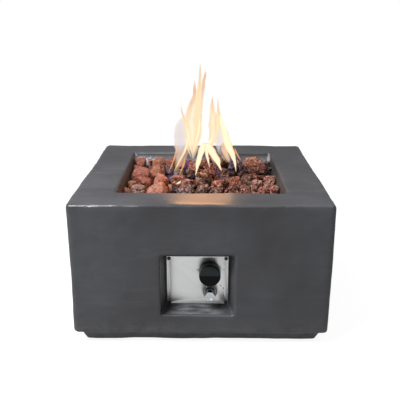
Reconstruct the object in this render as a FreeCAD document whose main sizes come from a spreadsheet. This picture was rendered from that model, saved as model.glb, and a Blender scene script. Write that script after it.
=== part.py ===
import FreeCAD, Part
import math
import operator
import os
import random
import Sketcher

# Tabletop gas fire pit: a square cast casing with a bowl of lava rock over a gas
# burner, and a control panel sunk in its front. Millimetres, +Z up, front at -Y.
# The origin is on the ground, under the middle of the casing.

SIZES = {
    # casing
    "casing_side": 400,
    "body_height": 212,
    "plinth_height": 18,
    "plinth_inset_top": 9,
    "plinth_inset_foot": 17,
    "plinth_corner_round": 6,
    "casing_wall": 14,
    "slab_thickness": 14,
    "corner_round": 8,
    "rim_round": 4.5,
    "body_foot_round": 5,
    # bowl
    "bowl_side": 270,
    "bowl_drop": 48,
    "bowl_lean": 6.5,
    "bowl_wall": 11,
    "bowl_corner_round": 6,
    "bowl_rim_round": 3,
    "ledge_thickness": 11,
    "ledge_width": 14,
    # control recess, at its mouth and at its back
    "recess_mouth_width": 114,
    "recess_mouth_height": 100.6,
    "recess_mouth_x": -4.9,
    "recess_mouth_z": 102.3,
    "recess_back_width": 102,
    "recess_back_height": 87,
    "recess_depth": 34,
    "recess_wall": 8,
    "recess_corner_round": 2.5,
    "recess_inner_round": 1.5,
    "window_width": 78,
    "window_height": 65,
    # rear pocket for the gas inlet
    "pocket_mouth_side": 62,
    "pocket_back_side": 50,
    "pocket_depth": 28,
    "pocket_x": 90,
    "pocket_z": 66,
    # underside
    "lug_side": 34,
    "lug_height": 30,
    "middle_lug_depth": 20,
    "base_recess": 8,
    "base_sheet": 1.2,
    "base_gap": 1,
    "slot_length": 60,
    "slot_width": 8,
    "slot_pitch": 22,
    "slot_rows": 7,
    "slot_columns": 3,
    "slot_column_pitch": 84,
    "foot_proud": 2,
    "foot_diameter": 28,
    "foot_chamfer": 1,
    "foot_inset": 19,
    "foot_screw_diameter": 5,
    "foot_screw_length": 24,
    "foot_head_diameter": 10,
    "foot_head_height": 3,
    "foot_head_recess": 5,
    "base_screw_length": 14,
    # burner tray
    "tray_sheet": 1.2,
    "tray_drop": 40,
    "tray_gap": 1,
    "pan_gap": 1.5,
    "pan_corner_round": 10,
    "drain_diameter": 7,
    "drain_circle": 184,
    "drain_count": 12,
    "tray_screw_diameter": 3.5,
    "tray_screw_length": 9,
    "tray_head_diameter": 6.5,
    "tray_head_height": 2,
    # burner
    "ring_diameter": 124,
    "burner_tube": 14,
    "burner_tube_wall": 1,
    "burner_height": 12,
    "port_diameter": 1.8,
    "ring_ports": 28,
    "bar_ports": 4,
    "bar_port_start": 20,
    "bar_port_pitch": 9,
    "hub_diameter": 24,
    "hub_proud": 1,
    "spigot_diameter": 16,
    "spigot_bore": 11,
    "spigot_length": 18,
    "hub_nut_flats": 24,
    "hub_nut_thickness": 6,
    # mixer and injector
    "mixer_diameter": 22,
    "mixer_gap": 1,
    "mixer_length": 46,
    "mixer_bore": 11,
    "air_window_width": 6,
    "air_window_height": 14,
    "elbow_diameter": 16,
    "elbow_stub_diameter": 12,
    "elbow_stub": 8,
    "elbow_drop": 24,
    "elbow_reach": 13,
    "elbow_arm_diameter": 13,
    "gas_bore": 4,
    "jet_diameter": 6,
    "jet_length": 8,
    "jet_taper": 3.2,
    "jet_tip_diameter": 3.6,
    "jet_bore": 1,
    # heat shield
    "shield_side": 200,
    "shield_sheet": 1,
    "shield_drop": 19,
    "shield_post_pitch": 160,
    "shield_post_diameter": 9,
    "shield_bolt_diameter": 4,
    "shield_nut_flats": 7,
    "shield_nut_thickness": 3,
    "shield_head_height": 2.5,
    "mixer_hole_margin": 1.5,
    "lead_slot_width": 46,
    "lead_slot_depth": 16,
    # flame sensor and spark electrode
    "pilot_offset": 10,
    "pilot_plate_width": 52,
    "pilot_plate_depth": 15,
    "pilot_plate_sheet": 1.5,
    "pilot_pitch": 20,
    "probe_diameter": 4.6,
    "electrode_diameter": 6,
    "electrode_wire_diameter": 1.6,
    "pilot_collar": 8.6,
    "pilot_collar_height": 2,
    "pilot_rise": 18,
    "pilot_drop": 12,
    "pilot_tip": 5,
    "pilot_screw_pitch": 44,
    "pilot_screw_proud": 2,
    # control panel
    "panel_width": 97,
    "panel_height": 82,
    "panel_x": -5.3,
    "panel_z": 96.8,
    "panel_thickness": 1.5,
    "panel_corner_round": 1,
    "panel_screw_pitch_x": 89.5,
    "panel_screw_pitch_z": 75,
    "panel_screw_diameter": 3,
    "panel_head_diameter": 5.6,
    "panel_head_height": 1.8,
    "insert_diameter": 5,
    "insert_length": 7,
    # gas valve, on the knob axis
    "valve_x": 14,
    "valve_z": 112.4,
    "valve_diameter": 29,
    "valve_length": 40,
    "valve_front_wall": 7,
    "valve_chamber_diameter": 14,
    "valve_chamber_length": 24,
    "valve_screw_pitch": 21,
    "valve_screw_diameter": 3,
    "valve_screw_length": 6,
    "boss_depth": 24,
    "boss_diameter": 14,
    "boss_reach": 19,
    "boss_thread_diameter": 10,
    "boss_thread_length": 7,
    "magnet_diameter": 17,
    "magnet_length": 22,
    "magnet_wall": 2,
    "lead_nut_flats": 9,
    "lead_nut_length": 10,
    "lead_diameter": 2.5,
    "lead_gap": 0.2,
    "sensor_lead_bend": 8,
    "sensor_lead_run": 24.8,
    "ignition_lead_bend": 9,
    "ignition_lead_run": 16.8,
    "lead_step_left": 4,
    "lead_rise": 22,
    # knob and stem
    "knob_diameter": 34,
    "knob_front_diameter": 32,
    "knob_thickness": 16,
    "knob_gap": 5.5,
    "knob_edge_round": 4.5,
    "knob_wall": 3,
    "knob_boss_diameter": 12,
    "knob_boss_inset": 1,
    "knob_travel": 4,
    "stem_diameter": 6,
    "stem_flat": 2,
    "stem_grip": 12,
    "stem_collar_diameter": 11,
    "stem_collar_thickness": 3,
    "stem_collar_play": 0.3,
    "rod_diameter": 3,
    "rod_head_diameter": 9,
    "rod_head_thickness": 2,
    "rod_tail": 2,
    "shaft_clearance": 0.06,
    "spring_wire": 0.9,
    "valve_spring_diameter": 9,
    "valve_spring_turns": 5,
    # igniter
    "igniter_x": 14.5,
    "igniter_z": 78.3,
    "bezel_diameter": 22.7,
    "bezel_thickness": 5,
    "bezel_round": 1.5,
    "barrel_diameter": 17.8,
    "barrel_length": 24,
    "button_diameter": 16.5,
    "button_proud": 20,
    "button_tail": 12,
    "button_wall": 2,
    "button_face": 3,
    "button_bevel": 2.6,
    "button_travel": 5,
    "plunger_diameter": 5,
    "plunger_tail": 10,
    "stop_thickness": 2,
    "igniter_nut_flats": 22,
    "igniter_nut_thickness": 4,
    "igniter_body_diameter": 15,
    "igniter_body_length": 30,
    "terminal_diameter": 5,
    "terminal_length": 8,
    "igniter_spring_diameter": 10.5,
    "igniter_spring_turns": 7,
    # gas pipes and inlet
    "pipe_diameter": 6,
    "pipe_bore": 4,
    "pipe_bend": 15,
    "pipe_nut_flats": 14,
    "pipe_nut_length": 13,
    "pipe_nut_overlap": 6,
    "outlet_side_run": 34,
    "inlet_thread_diameter": 13.2,
    "inlet_thread_length": 18,
    "inlet_flats": 19,
    "inlet_hex_thickness": 5,
    "inlet_nut_thickness": 5,
    "inlet_tail": 10,
    "inlet_thread_chamfer": 1,
    "inlet_thread_proud": 1,
    # lava rock
    "rock_gap": 0.3,
    "rock_wall_gap": 0.8,
    "low_rock_width": 44,
    "low_rock_scatter": 3,
    "rock_top_chip": 1,
    # fits
    "close_clearance": 0.1,
    "hole_clearance": 0.5,
    "end_gap": 1,
    "join_overlap": 1,
    "cut_margin": 1,
}

HEX_CORNER = 1 / math.sqrt(3)
FORWARD = FreeCAD.Rotation(FreeCAD.Vector(1, 0, 0), 90)
BACKWARD = FreeCAD.Rotation(FreeCAD.Vector(1, 0, 0), -90)
TO_RIGHT = FreeCAD.Rotation(FreeCAD.Vector(0, 1, 0), 90)
TO_LEFT = FreeCAD.Rotation(FreeCAD.Vector(0, 1, 0), -90)
UPRIGHT = FreeCAD.Rotation()
SIGNS = {"+": operator.add, "-": operator.sub, "*": operator.mul, "/": operator.truediv}

doc = FreeCAD.newDocument("fire_pit")
sheet = doc.addObject("Spreadsheet::Sheet", "Sizes")
for row, (alias, number) in enumerate(SIZES.items(), start=1):
    sheet.set(f"A{row}", alias)
    sheet.set(f"B{row}", str(number))
    sheet.setAlias(f"B{row}", alias)
doc.recompute()


class Length:
    """A length: its number now, and the expression that binds it to the sheet."""

    def __init__(self, number, text):
        self.number = number
        self.text = text

    def __add__(self, other):
        return combine(self, "+", other)

    def __sub__(self, other):
        return combine(self, "-", other)

    def __rsub__(self, other):
        return combine(other, "-", self)

    def __mul__(self, other):
        return combine(self, "*", other)

    def __truediv__(self, other):
        return combine(self, "/", other)

    def __neg__(self):
        return combine(0, "-", self)


class Sheet:
    """Reads one size of the sheet as a Length, by its alias."""

    def __getattr__(self, alias):
        return Length(float(sheet.get(alias)), f"Sizes.{alias}")


def as_length(value):
    if isinstance(value, Length):
        return value
    return Length(float(value), repr(float(value)))


def combine(first, sign, second):
    first = as_length(first)
    second = as_length(second)
    number = SIGNS[sign](first.number, second.number)
    return Length(number, f"({first.text} {sign} {second.text})")


S = Sheet()


# ---- building blocks ---------------------------------------------------------

def new_body(name, place=(0, 0, 0), rotation=UPRIGHT):
    body = doc.addObject("PartDesign::Body", name)
    body.Label = name
    body.Placement = FreeCAD.Placement(FreeCAD.Vector(), rotation)
    for axis, value in zip("xyz", place):
        body.setExpression(f"Placement.Base.{axis}", as_length(value).text)
    return body


def origin_item(body, role):
    return next(item for item in body.Origin.OriginFeatures if item.Role == role)


def new_sketch(body, name, plane, level=0, shift=(0, 0)):
    """Attach a sketch to an origin plane, moved to a level along +X, +Y or +Z."""
    sketch = body.newObject("Sketcher::SketchObject", name)
    sketch.AttachmentSupport = [(origin_item(body, f"{plane}_Plane"), "")]
    sketch.MapMode = "FlatFace"
    # the XZ plane's normal points to -Y
    along_normal = -as_length(level) if plane == "XZ" else as_length(level)
    sketch.setExpression("AttachmentOffset.Base.x", as_length(shift[0]).text)
    sketch.setExpression("AttachmentOffset.Base.y", as_length(shift[1]).text)
    sketch.setExpression("AttachmentOffset.Base.z", along_normal.text)
    return sketch


def bind(sketch, constraint, name, length):
    index = sketch.addConstraint(constraint)
    sketch.renameConstraint(index, name)
    sketch.setExpression(f"Constraints.{name}", length.text)


def bind_point(sketch, geometry, position, name, across, up):
    across = as_length(across)
    up = as_length(up)
    for kind, length in (("DistanceX", across), ("DistanceY", up)):
        rule = Sketcher.Constraint(kind, -1, 1, geometry, position, length.number)
        bind(sketch, rule, f"{name}_{kind[-1].lower()}", length)


def add_outline(sketch, points):
    """Draw a closed outline of straight lines whose corners are bound to the sheet."""
    first = sketch.GeometryCount
    corners = [(as_length(across), as_length(up)) for across, up in points]
    vectors = [FreeCAD.Vector(across.number, up.number, 0) for across, up in corners]
    for index, start in enumerate(vectors):
        end = vectors[(index + 1) % len(vectors)]
        sketch.addGeometry(Part.LineSegment(start, end), False)
    for index, (across, up) in enumerate(corners):
        following = first + (index + 1) % len(corners)
        sketch.addConstraint(Sketcher.Constraint("Coincident", first + index, 2, following, 1))
        bind_point(sketch, first + index, 1, f"corner{first + index}", across, up)


def add_round_rectangle(sketch, width, height, radius):
    """Draw a rectangle about the sketch's origin whose corners are quarter circles."""
    centres = rectangle_points(width - radius * 2, height - radius * 2)
    for index, (across, up) in enumerate(centres):
        centre = FreeCAD.Vector(across.number, up.number, 0)
        circle = Part.Circle(centre, FreeCAD.Vector(0, 0, 1), radius.number)
        start = math.pi + index * math.pi / 2
        sketch.addGeometry(Part.ArcOfCircle(circle, start, start + math.pi / 2), False)
        bind_point(sketch, index, 3, f"centre{index}", across, up)
    for index in range(4):
        following = (index + 1) % 4
        start = sketch.Geometry[index].EndPoint
        end = sketch.Geometry[following].StartPoint
        line = sketch.addGeometry(Part.LineSegment(start, end), False)
        sketch.addConstraint(Sketcher.Constraint("Tangent", index, 2, line, 1))
        sketch.addConstraint(Sketcher.Constraint("Tangent", line, 2, following, 1))
    rule = Sketcher.Constraint("Radius", 0, radius.number)
    bind(sketch, rule, "corner_radius", radius)


def add_circles(sketch, circles):
    """Draw circles given as (across, up, diameter)."""
    for across, up, diameter in circles:
        across, up, diameter = as_length(across), as_length(up), as_length(diameter)
        centre = FreeCAD.Vector(across.number, up.number, 0)
        circle = Part.Circle(centre, FreeCAD.Vector(0, 0, 1), diameter.number / 2)
        index = sketch.addGeometry(circle, False)
        bind_point(sketch, index, 3, f"centre{index}", across, up)
        rule = Sketcher.Constraint("Diameter", index, diameter.number)
        bind(sketch, rule, f"diameter{index}", diameter)


def rectangle_points(width, height, centre=(0, 0)):
    width, height = as_length(width), as_length(height)
    across, up = as_length(centre[0]), as_length(centre[1])
    left, right = across - width / 2, across + width / 2
    low, high = up - height / 2, up + height / 2
    return [(left, low), (right, low), (right, high), (left, high)]


def hexagon_points(flats, flat_on_top=True):
    flats = as_length(flats)
    corner, half_corner, half = flats * HEX_CORNER, flats * (HEX_CORNER / 2), flats / 2
    points = [(corner, 0), (half_corner, half), (-half_corner, half)]
    points += [(-corner, 0), (-half_corner, -half), (half_corner, -half)]
    if flat_on_top:
        return points
    return [(up, across) for across, up in points]


def rectangle(body, name, plane, level, width, height, centre=(0, 0)):
    sketch = new_sketch(body, name, plane, level)
    add_outline(sketch, rectangle_points(width, height, centre))
    return sketch


def circles(body, name, plane, level, items):
    sketch = new_sketch(body, name, plane, level)
    add_circles(sketch, items)
    return sketch


def extrude(body, kind, name, sketch, length, backward=False, middle=False):
    """Pad or Pocket a sketch, and make sure that it changed the solid."""
    before = body.Shape.Volume if body.Tip else 0
    feature = body.newObject(f"PartDesign::{kind}", name)
    feature.Profile = sketch
    feature.setExpression("Length", as_length(length).text)
    feature.Reversed = backward
    feature.Midplane = middle
    doc.recompute()
    if abs(body.Shape.Volume - before) < 1e-3:
        raise RuntimeError(f"{body.Label}: {name} changed nothing")
    return feature


def turn(body, kind, name, points, shift=(0, 0)):
    """Turn a (radius, height) outline about a vertical axis: Revolution or Groove."""
    sketch = new_sketch(body, f"{name}_outline", "XZ", shift[1], (shift[0], 0))
    add_outline(sketch, points)
    before = body.Shape.Volume if body.Tip else 0
    feature = body.newObject(f"PartDesign::{kind}", name)
    feature.Profile = sketch
    feature.ReferenceAxis = (sketch, ["V_Axis"])
    doc.recompute()
    if abs(body.Shape.Volume - before) < 1e-3:
        raise RuntimeError(f"{body.Label}: {name} changed nothing")
    return feature


def loft(body, kind, name, first, last):
    feature = body.newObject(f"PartDesign::{kind}", name)
    feature.Profile = first
    feature.Sections = [last]
    feature.Ruled = True
    doc.recompute()
    return feature


def pattern(body, name, feature, across, up, columns=2, rows=2):
    """Repeat a feature over a rectangle, across by up: at first at its four corners."""
    copies = body.newObject("PartDesign::LinearPattern", name)
    copies.Originals = [feature]
    copies.Direction = (origin_item(body, "X_Axis"), [""])
    copies.Direction2 = (origin_item(body, "Y_Axis"), [""])
    copies.setExpression("Length", as_length(across).text)
    copies.setExpression("Length2", as_length(up).text)
    copies.setExpression("Occurrences", as_length(columns).text)
    copies.setExpression("Occurrences2", as_length(rows).text)
    body.Tip = copies
    doc.recompute()
    return copies


def turn_copies(body, name, feature, count):
    """Repeat a feature round the body's vertical axis."""
    copies = body.newObject("PartDesign::PolarPattern", name)
    copies.Originals = [feature]
    copies.Axis = (origin_item(body, "Z_Axis"), [""])
    copies.setExpression("Occurrences", as_length(count).text)
    body.Tip = copies
    doc.recompute()
    return copies


def fillet(body, name, radius, chosen):
    """Round the edges for which chosen(middle point, direction, edge) is true."""
    base = body.Tip
    names = []
    for index, edge in enumerate(base.Shape.Edges, start=1):
        middle = edge.valueAt((edge.FirstParameter + edge.LastParameter) / 2)
        direction = edge.tangentAt((edge.FirstParameter + edge.LastParameter) / 2)
        if chosen(middle, direction, edge):
            names.append(f"Edge{index}")
    if not names:
        raise RuntimeError(f"{body.Label}: {name} found no edge")
    feature = body.newObject("PartDesign::Fillet", name)
    feature.Base = (base, names)
    feature.setExpression("Radius", as_length(radius).text)
    doc.recompute()
    return feature


def near(first, second, within=0.01):
    return abs(first - as_length(second).number) < within


# ---- levels and half-widths that several pieces share ------------------------

HALF = S.casing_side / 2
BASE_UNDER = S.foot_proud + S.base_recess
RIM = S.foot_proud + S.plinth_height + S.body_height
LEDGE = RIM - S.bowl_drop
LEDGE_HALF = S.bowl_side / 2 - S.bowl_lean
WELL_HALF = LEDGE_HALF - S.ledge_width
PAN_HALF = WELL_HALF - S.pan_gap
PAN_UNDER = LEDGE - S.tray_drop
PAN_FLOOR = PAN_UNDER + S.tray_sheet
CAVITY_HALF = HALF - S.plinth_inset_foot - S.casing_wall
FOOT_AT = CAVITY_HALF - S.foot_inset
MIDDLE_LUG_AT = CAVITY_HALF - S.middle_lug_depth / 2
TRAY_SCREW_AT = LEDGE_HALF - S.ledge_width / 2
SHIELD_TOP = PAN_UNDER - S.shield_drop
SHIELD_POST_AT = S.shield_post_pitch / 2
MIXER_TOP = PAN_UNDER - S.hub_nut_thickness - S.mixer_gap
MIXER_FOOT = MIXER_TOP - S.mixer_length
PILOT_AT = -(S.ring_diameter / 2 + S.burner_tube / 2 + S.pilot_offset)
PROBE_X = S.pilot_pitch / 2
PROBE_FOOT = -(S.pilot_plate_sheet + S.tray_sheet + S.pilot_drop)
PANEL_BACK = S.recess_depth - HALF
POCKET_BACK = HALF - S.pocket_depth
VALVE_PLACE = (S.valve_x, PANEL_BACK, S.valve_z)
IGNITER_PLACE = (S.igniter_x, PANEL_BACK, S.igniter_z)
KNOB_BACK = S.panel_thickness + S.knob_gap
STEM_END = KNOB_BACK + S.stem_grip
BOSS_END = S.boss_reach + S.boss_thread_length
ELBOW_END = S.elbow_reach + S.boss_thread_length
LEAD_NUT_END = S.valve_length + S.magnet_length + S.lead_nut_length
COLLAR_TOP = -(S.valve_front_wall + S.stem_collar_play)
COLLAR_UNDER = COLLAR_TOP - S.stem_collar_thickness
ROD_HEAD_UNDER = COLLAR_UNDER - S.rod_head_thickness
BUTTON_CEILING = S.panel_thickness + S.button_proud - S.button_face
INLET_SHOULDER = S.recess_wall + S.inlet_nut_thickness + S.inlet_thread_proud
INLET_END_Y = POCKET_BACK - INLET_SHOULDER - S.inlet_tail
PORT_Y = PANEL_BACK + S.boss_depth
ELBOW_Z = MIXER_FOOT - S.elbow_drop / 2
# a pan head is flat over this share of its width
HEAD_FLAT = 0.7


def between(value, low, high):
    return as_length(low).number < value < as_length(high).number


# ---- casing ------------------------------------------------------------------

def casing_block(body, rim):
    outline = rectangle(body, "outline", "XY", S.plinth_height, S.casing_side, S.casing_side)
    extrude(body, "Pad", "block", outline, S.body_height)
    fillet(body, "corners", S.corner_round, lambda at, way, edge: abs(way.z) > 0.9)
    fillet(body, "rim_edge", S.rim_round, lambda at, way, edge: near(at.z, rim))
    fillet(body, "foot_edge", S.body_foot_round,
           lambda at, way, edge: near(at.z, S.plinth_height))
    foot_side = (HALF - S.plinth_inset_foot) * 2
    top_side = (HALF - S.plinth_inset_top) * 2
    foot = rectangle(body, "plinth_foot", "XY", 0, foot_side, foot_side)
    top = rectangle(body, "plinth_top", "XY", S.plinth_height, top_side, top_side)
    loft(body, "AdditiveLoft", "plinth", foot, top)
    fillet(body, "plinth_corners", S.plinth_corner_round,
           lambda at, way, edge: abs(way.z) > 0.5 and between(at.z, 0, S.plinth_height))


def casing_cavity(body, rim):
    side = CAVITY_HALF * 2
    step = S.plinth_height + S.casing_wall
    lower = rectangle(body, "plinth_cavity_outline", "XY", 0, side, side)
    extrude(body, "Pocket", "plinth_cavity", lower, step, backward=True)
    inner = S.casing_side - S.casing_wall * 2
    upper = rectangle(body, "body_cavity_outline", "XY", step, inner, inner)
    height = rim - S.slab_thickness - step
    extrude(body, "Pocket", "body_cavity", upper, height, backward=True)


def casing_lugs(body):
    """Blocks inside the plinth that the feet and the base plate are screwed to."""
    seat = S.base_recess + S.base_sheet
    corner = CAVITY_HALF - S.lug_side / 2 + S.join_overlap
    outline = rectangle(body, "corner_lug_outline", "XY", seat, S.lug_side, S.lug_side,
                        (-corner, -corner))
    lug = extrude(body, "Pad", "corner_lug", outline, S.lug_height)
    pattern(body, "corner_lugs", lug, corner * 2, corner * 2)
    outline = rectangle(body, "middle_lug_outline", "XY", seat, S.lug_side,
                        S.middle_lug_depth + S.join_overlap,
                        (0, -MIDDLE_LUG_AT - S.join_overlap / 2))
    lug = extrude(body, "Pad", "middle_lug", outline, S.lug_height)
    turn_copies(body, "middle_lugs", lug, 4)
    hole = circles(body, "foot_screw_circle", "XY", seat,
                   [(-FOOT_AT, -FOOT_AT, S.foot_screw_diameter + S.close_clearance)])
    hole = extrude(body, "Pocket", "foot_screw_hole", hole, S.foot_screw_length, backward=True)
    pattern(body, "foot_screw_holes", hole, FOOT_AT * 2, FOOT_AT * 2)
    hole = circles(body, "base_screw_circle", "XY", seat,
                   [(0, -MIDDLE_LUG_AT, S.foot_screw_diameter + S.close_clearance)])
    hole = extrude(body, "Pocket", "base_screw_hole", hole, S.base_screw_length, backward=True)
    turn_copies(body, "base_screw_holes", hole, 4)


def casing_bowl(body, rim):
    ledge = rim - S.bowl_drop
    under = ledge - S.ledge_thickness
    in_slab = rim - S.slab_thickness / 2
    outer = S.bowl_side + S.bowl_wall * 2
    foot = (LEDGE_HALF + S.bowl_wall) * 2
    top = rectangle(body, "bowl_outside_top", "XY", in_slab, outer, outer)
    bottom = rectangle(body, "bowl_outside_foot", "XY", under, foot, foot)
    loft(body, "AdditiveLoft", "bowl_outside", top, bottom)
    top = rectangle(body, "bowl_inside_top", "XY", rim, S.bowl_side, S.bowl_side)
    bottom = rectangle(body, "bowl_inside_foot", "XY", ledge, LEDGE_HALF * 2, LEDGE_HALF * 2)
    loft(body, "SubtractiveLoft", "bowl_inside", top, bottom)
    well = rectangle(body, "well_outline", "XY", ledge, WELL_HALF * 2, WELL_HALF * 2)
    extrude(body, "Pocket", "well", well, S.ledge_thickness + S.cut_margin)
    fillet(body, "bowl_corners", S.bowl_corner_round,
           lambda at, way, edge: abs(way.z) > 0.9 and between(at.z, ledge, rim)
           and between(abs(at.x), WELL_HALF + 1, S.bowl_side / 2 + 1))
    fillet(body, "bowl_rim_edge", S.bowl_rim_round,
           lambda at, way, edge: near(at.z, rim) and max(abs(at.x), abs(at.y))
           < (S.bowl_side / 2 + 1).number)
    hole = circles(body, "tray_screw_circle", "XY", ledge,
                   [(-TRAY_SCREW_AT, -TRAY_SCREW_AT, S.tray_screw_diameter + S.close_clearance)])
    hole = extrude(body, "Pocket", "tray_screw_hole", hole, S.tray_screw_length)
    pattern(body, "tray_screw_holes", hole, TRAY_SCREW_AT * 2, TRAY_SCREW_AT * 2)


def casing_recess(body):
    """The sunk front panel bay: a tapered pocket with a window behind the panel."""
    mouth_at = (S.recess_mouth_x, S.recess_mouth_z - S.foot_proud)
    back_at = (S.panel_x, S.panel_z - S.foot_proud)
    wall = S.recess_wall * 2
    in_wall = S.casing_wall / 2 - HALF
    first = rectangle(body, "bay_outside_mouth", "XZ", in_wall, S.recess_mouth_width + wall,
                      S.recess_mouth_height + wall, mouth_at)
    last = rectangle(body, "bay_outside_back", "XZ", PANEL_BACK + S.recess_wall,
                     S.recess_back_width + wall, S.recess_back_height + wall, back_at)
    loft(body, "AdditiveLoft", "bay_outside", first, last)
    first = rectangle(body, "bay_mouth", "XZ", -HALF, S.recess_mouth_width,
                      S.recess_mouth_height, mouth_at)
    last = rectangle(body, "bay_back", "XZ", PANEL_BACK, S.recess_back_width,
                     S.recess_back_height, back_at)
    loft(body, "SubtractiveLoft", "bay", first, last)
    left = mouth_at[0] - S.recess_mouth_width / 2 - 1
    right = mouth_at[0] + S.recess_mouth_width / 2 + 1
    top = mouth_at[1] + S.recess_mouth_height / 2 + 1
    fillet(body, "bay_corners", S.recess_inner_round,
           lambda at, way, edge: abs(way.y) > 0.7 and between(at.y, -HALF, PANEL_BACK)
           and between(at.x, left, right) and between(at.z, S.plinth_height, top))
    fillet(body, "bay_edge", S.recess_corner_round,
           lambda at, way, edge: near(at.y, -HALF) and between(at.x, left, right)
           and between(at.z, S.plinth_height + S.body_foot_round, top))
    window = rectangle(body, "window_outline", "XZ", PANEL_BACK, S.window_width,
                       S.window_height, back_at)
    extrude(body, "Pocket", "window", window, S.recess_wall + S.cut_margin)
    corners = []
    for across in (-1, 1):
        for up in (-1, 1):
            corners.append((back_at[0] + S.panel_screw_pitch_x * (across / 2),
                            back_at[1] + S.panel_screw_pitch_z * (up / 2),
                            S.insert_diameter + S.close_clearance))
    holes = circles(body, "insert_circles", "XZ", PANEL_BACK, corners)
    extrude(body, "Pocket", "insert_holes", holes, S.insert_length)


def casing_inlet_pocket(body):
    """A pocket in the rear wall, so that the gas inlet stays inside the outline."""
    at = (S.pocket_x, S.pocket_z - S.foot_proud)
    wall = S.recess_wall * 2
    in_wall = HALF - S.casing_wall / 2
    mouth = S.pocket_mouth_side
    back = S.pocket_back_side
    first = rectangle(body, "pocket_outside_mouth", "XZ", in_wall, mouth + wall, mouth + wall, at)
    last = rectangle(body, "pocket_outside_back", "XZ", POCKET_BACK - S.recess_wall,
                     back + wall, back + wall, at)
    loft(body, "AdditiveLoft", "pocket_outside", first, last)
    first = rectangle(body, "pocket_mouth", "XZ", HALF, mouth, mouth, at)
    last = rectangle(body, "pocket_back", "XZ", POCKET_BACK, back, back, at)
    loft(body, "SubtractiveLoft", "pocket", first, last)
    hole = circles(body, "inlet_circle", "XZ", POCKET_BACK,
                   [(at[0], at[1], S.inlet_thread_diameter + S.hole_clearance)])
    extrude(body, "Pocket", "inlet_hole", hole, S.recess_wall + S.cut_margin, backward=True)


def make_casing():
    body = new_body("casing", (0, 0, S.foot_proud))
    rim = S.plinth_height + S.body_height
    casing_block(body, rim)
    casing_cavity(body, rim)
    casing_lugs(body)
    casing_bowl(body, rim)
    casing_recess(body)
    casing_inlet_pocket(body)


# ---- underside ---------------------------------------------------------------

def make_base_plate():
    body = new_body("base_plate", (0, 0, BASE_UNDER))
    side = (CAVITY_HALF - S.base_gap) * 2
    outline = rectangle(body, "outline", "XY", 0, side, side)
    extrude(body, "Pad", "plate", outline, S.base_sheet)
    hole_diameter = S.foot_screw_diameter + S.hole_clearance
    hole = circles(body, "foot_screw_circle", "XY", S.base_sheet,
                   [(-FOOT_AT, -FOOT_AT, hole_diameter)])
    hole = extrude(body, "Pocket", "foot_screw_hole", hole, S.base_sheet)
    pattern(body, "foot_screw_holes", hole, FOOT_AT * 2, FOOT_AT * 2)
    hole = circles(body, "base_screw_circle", "XY", S.base_sheet,
                   [(0, -MIDDLE_LUG_AT, hole_diameter)])
    hole = extrude(body, "Pocket", "base_screw_hole", hole, S.base_sheet)
    turn_copies(body, "base_screw_holes", hole, 4)
    across = S.slot_column_pitch * (S.slot_columns - 1)
    up = S.slot_pitch * (S.slot_rows - 1)
    slot = rectangle(body, "slot_outline", "XY", S.base_sheet, S.slot_length, S.slot_width,
                     (-across / 2, -up / 2))
    slot = extrude(body, "Pocket", "vent_slot", slot, S.base_sheet)
    pattern(body, "vent_slots", slot, across, up, S.slot_columns, S.slot_rows)


def make_rubber_feet():
    body = new_body("rubber_feet")
    hole = (S.foot_screw_diameter + S.hole_clearance) / 2
    well = S.foot_head_diameter / 2 + S.hole_clearance
    edge = S.foot_diameter / 2
    outline = [(hole, S.foot_head_recess), (hole, BASE_UNDER), (edge, BASE_UNDER),
               (edge, S.foot_chamfer), (edge - S.foot_chamfer, 0), (well, 0),
               (well, S.foot_head_recess)]
    foot = turn(body, "Revolution", "foot", outline, (-FOOT_AT, -FOOT_AT))
    pattern(body, "feet", foot, FOOT_AT * 2, FOOT_AT * 2)


def screw_outline(head_diameter, head_height, shank_diameter, shank_length, head_at=0):
    """A pan-head screw that points up: its head is under head_at, its shank above."""
    head = as_length(head_diameter) / 2
    shank = as_length(shank_diameter) / 2
    head_at = as_length(head_at)
    under = head_at - head_height
    brow = head_at - as_length(head_height) / 2
    end = head_at + shank_length
    return [(0, under), (head * HEAD_FLAT, under), (head, brow), (head, head_at),
            (shank, head_at), (shank, end), (0, end)]


def flipped(outline):
    return [(across, -as_length(up)) for across, up in outline]


def make_foot_screws():
    body = new_body("foot_screws", (0, 0, S.foot_head_recess))
    outline = screw_outline(S.foot_head_diameter, S.foot_head_height, S.foot_screw_diameter,
                            BASE_UNDER - S.foot_head_recess + S.foot_screw_length)
    screw = turn(body, "Revolution", "screw", outline, (-FOOT_AT, -FOOT_AT))
    pattern(body, "screws", screw, FOOT_AT * 2, FOOT_AT * 2)


def make_base_screws():
    body = new_body("base_screws", (0, 0, BASE_UNDER))
    outline = screw_outline(S.foot_head_diameter, S.foot_head_height, S.foot_screw_diameter,
                            S.base_sheet + S.base_screw_length - S.end_gap)
    screw = turn(body, "Revolution", "screw", outline, (0, -MIDDLE_LUG_AT))
    turn_copies(body, "screws", screw, 4)


# ---- burner tray and heat shield ----------------------------------------------

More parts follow.
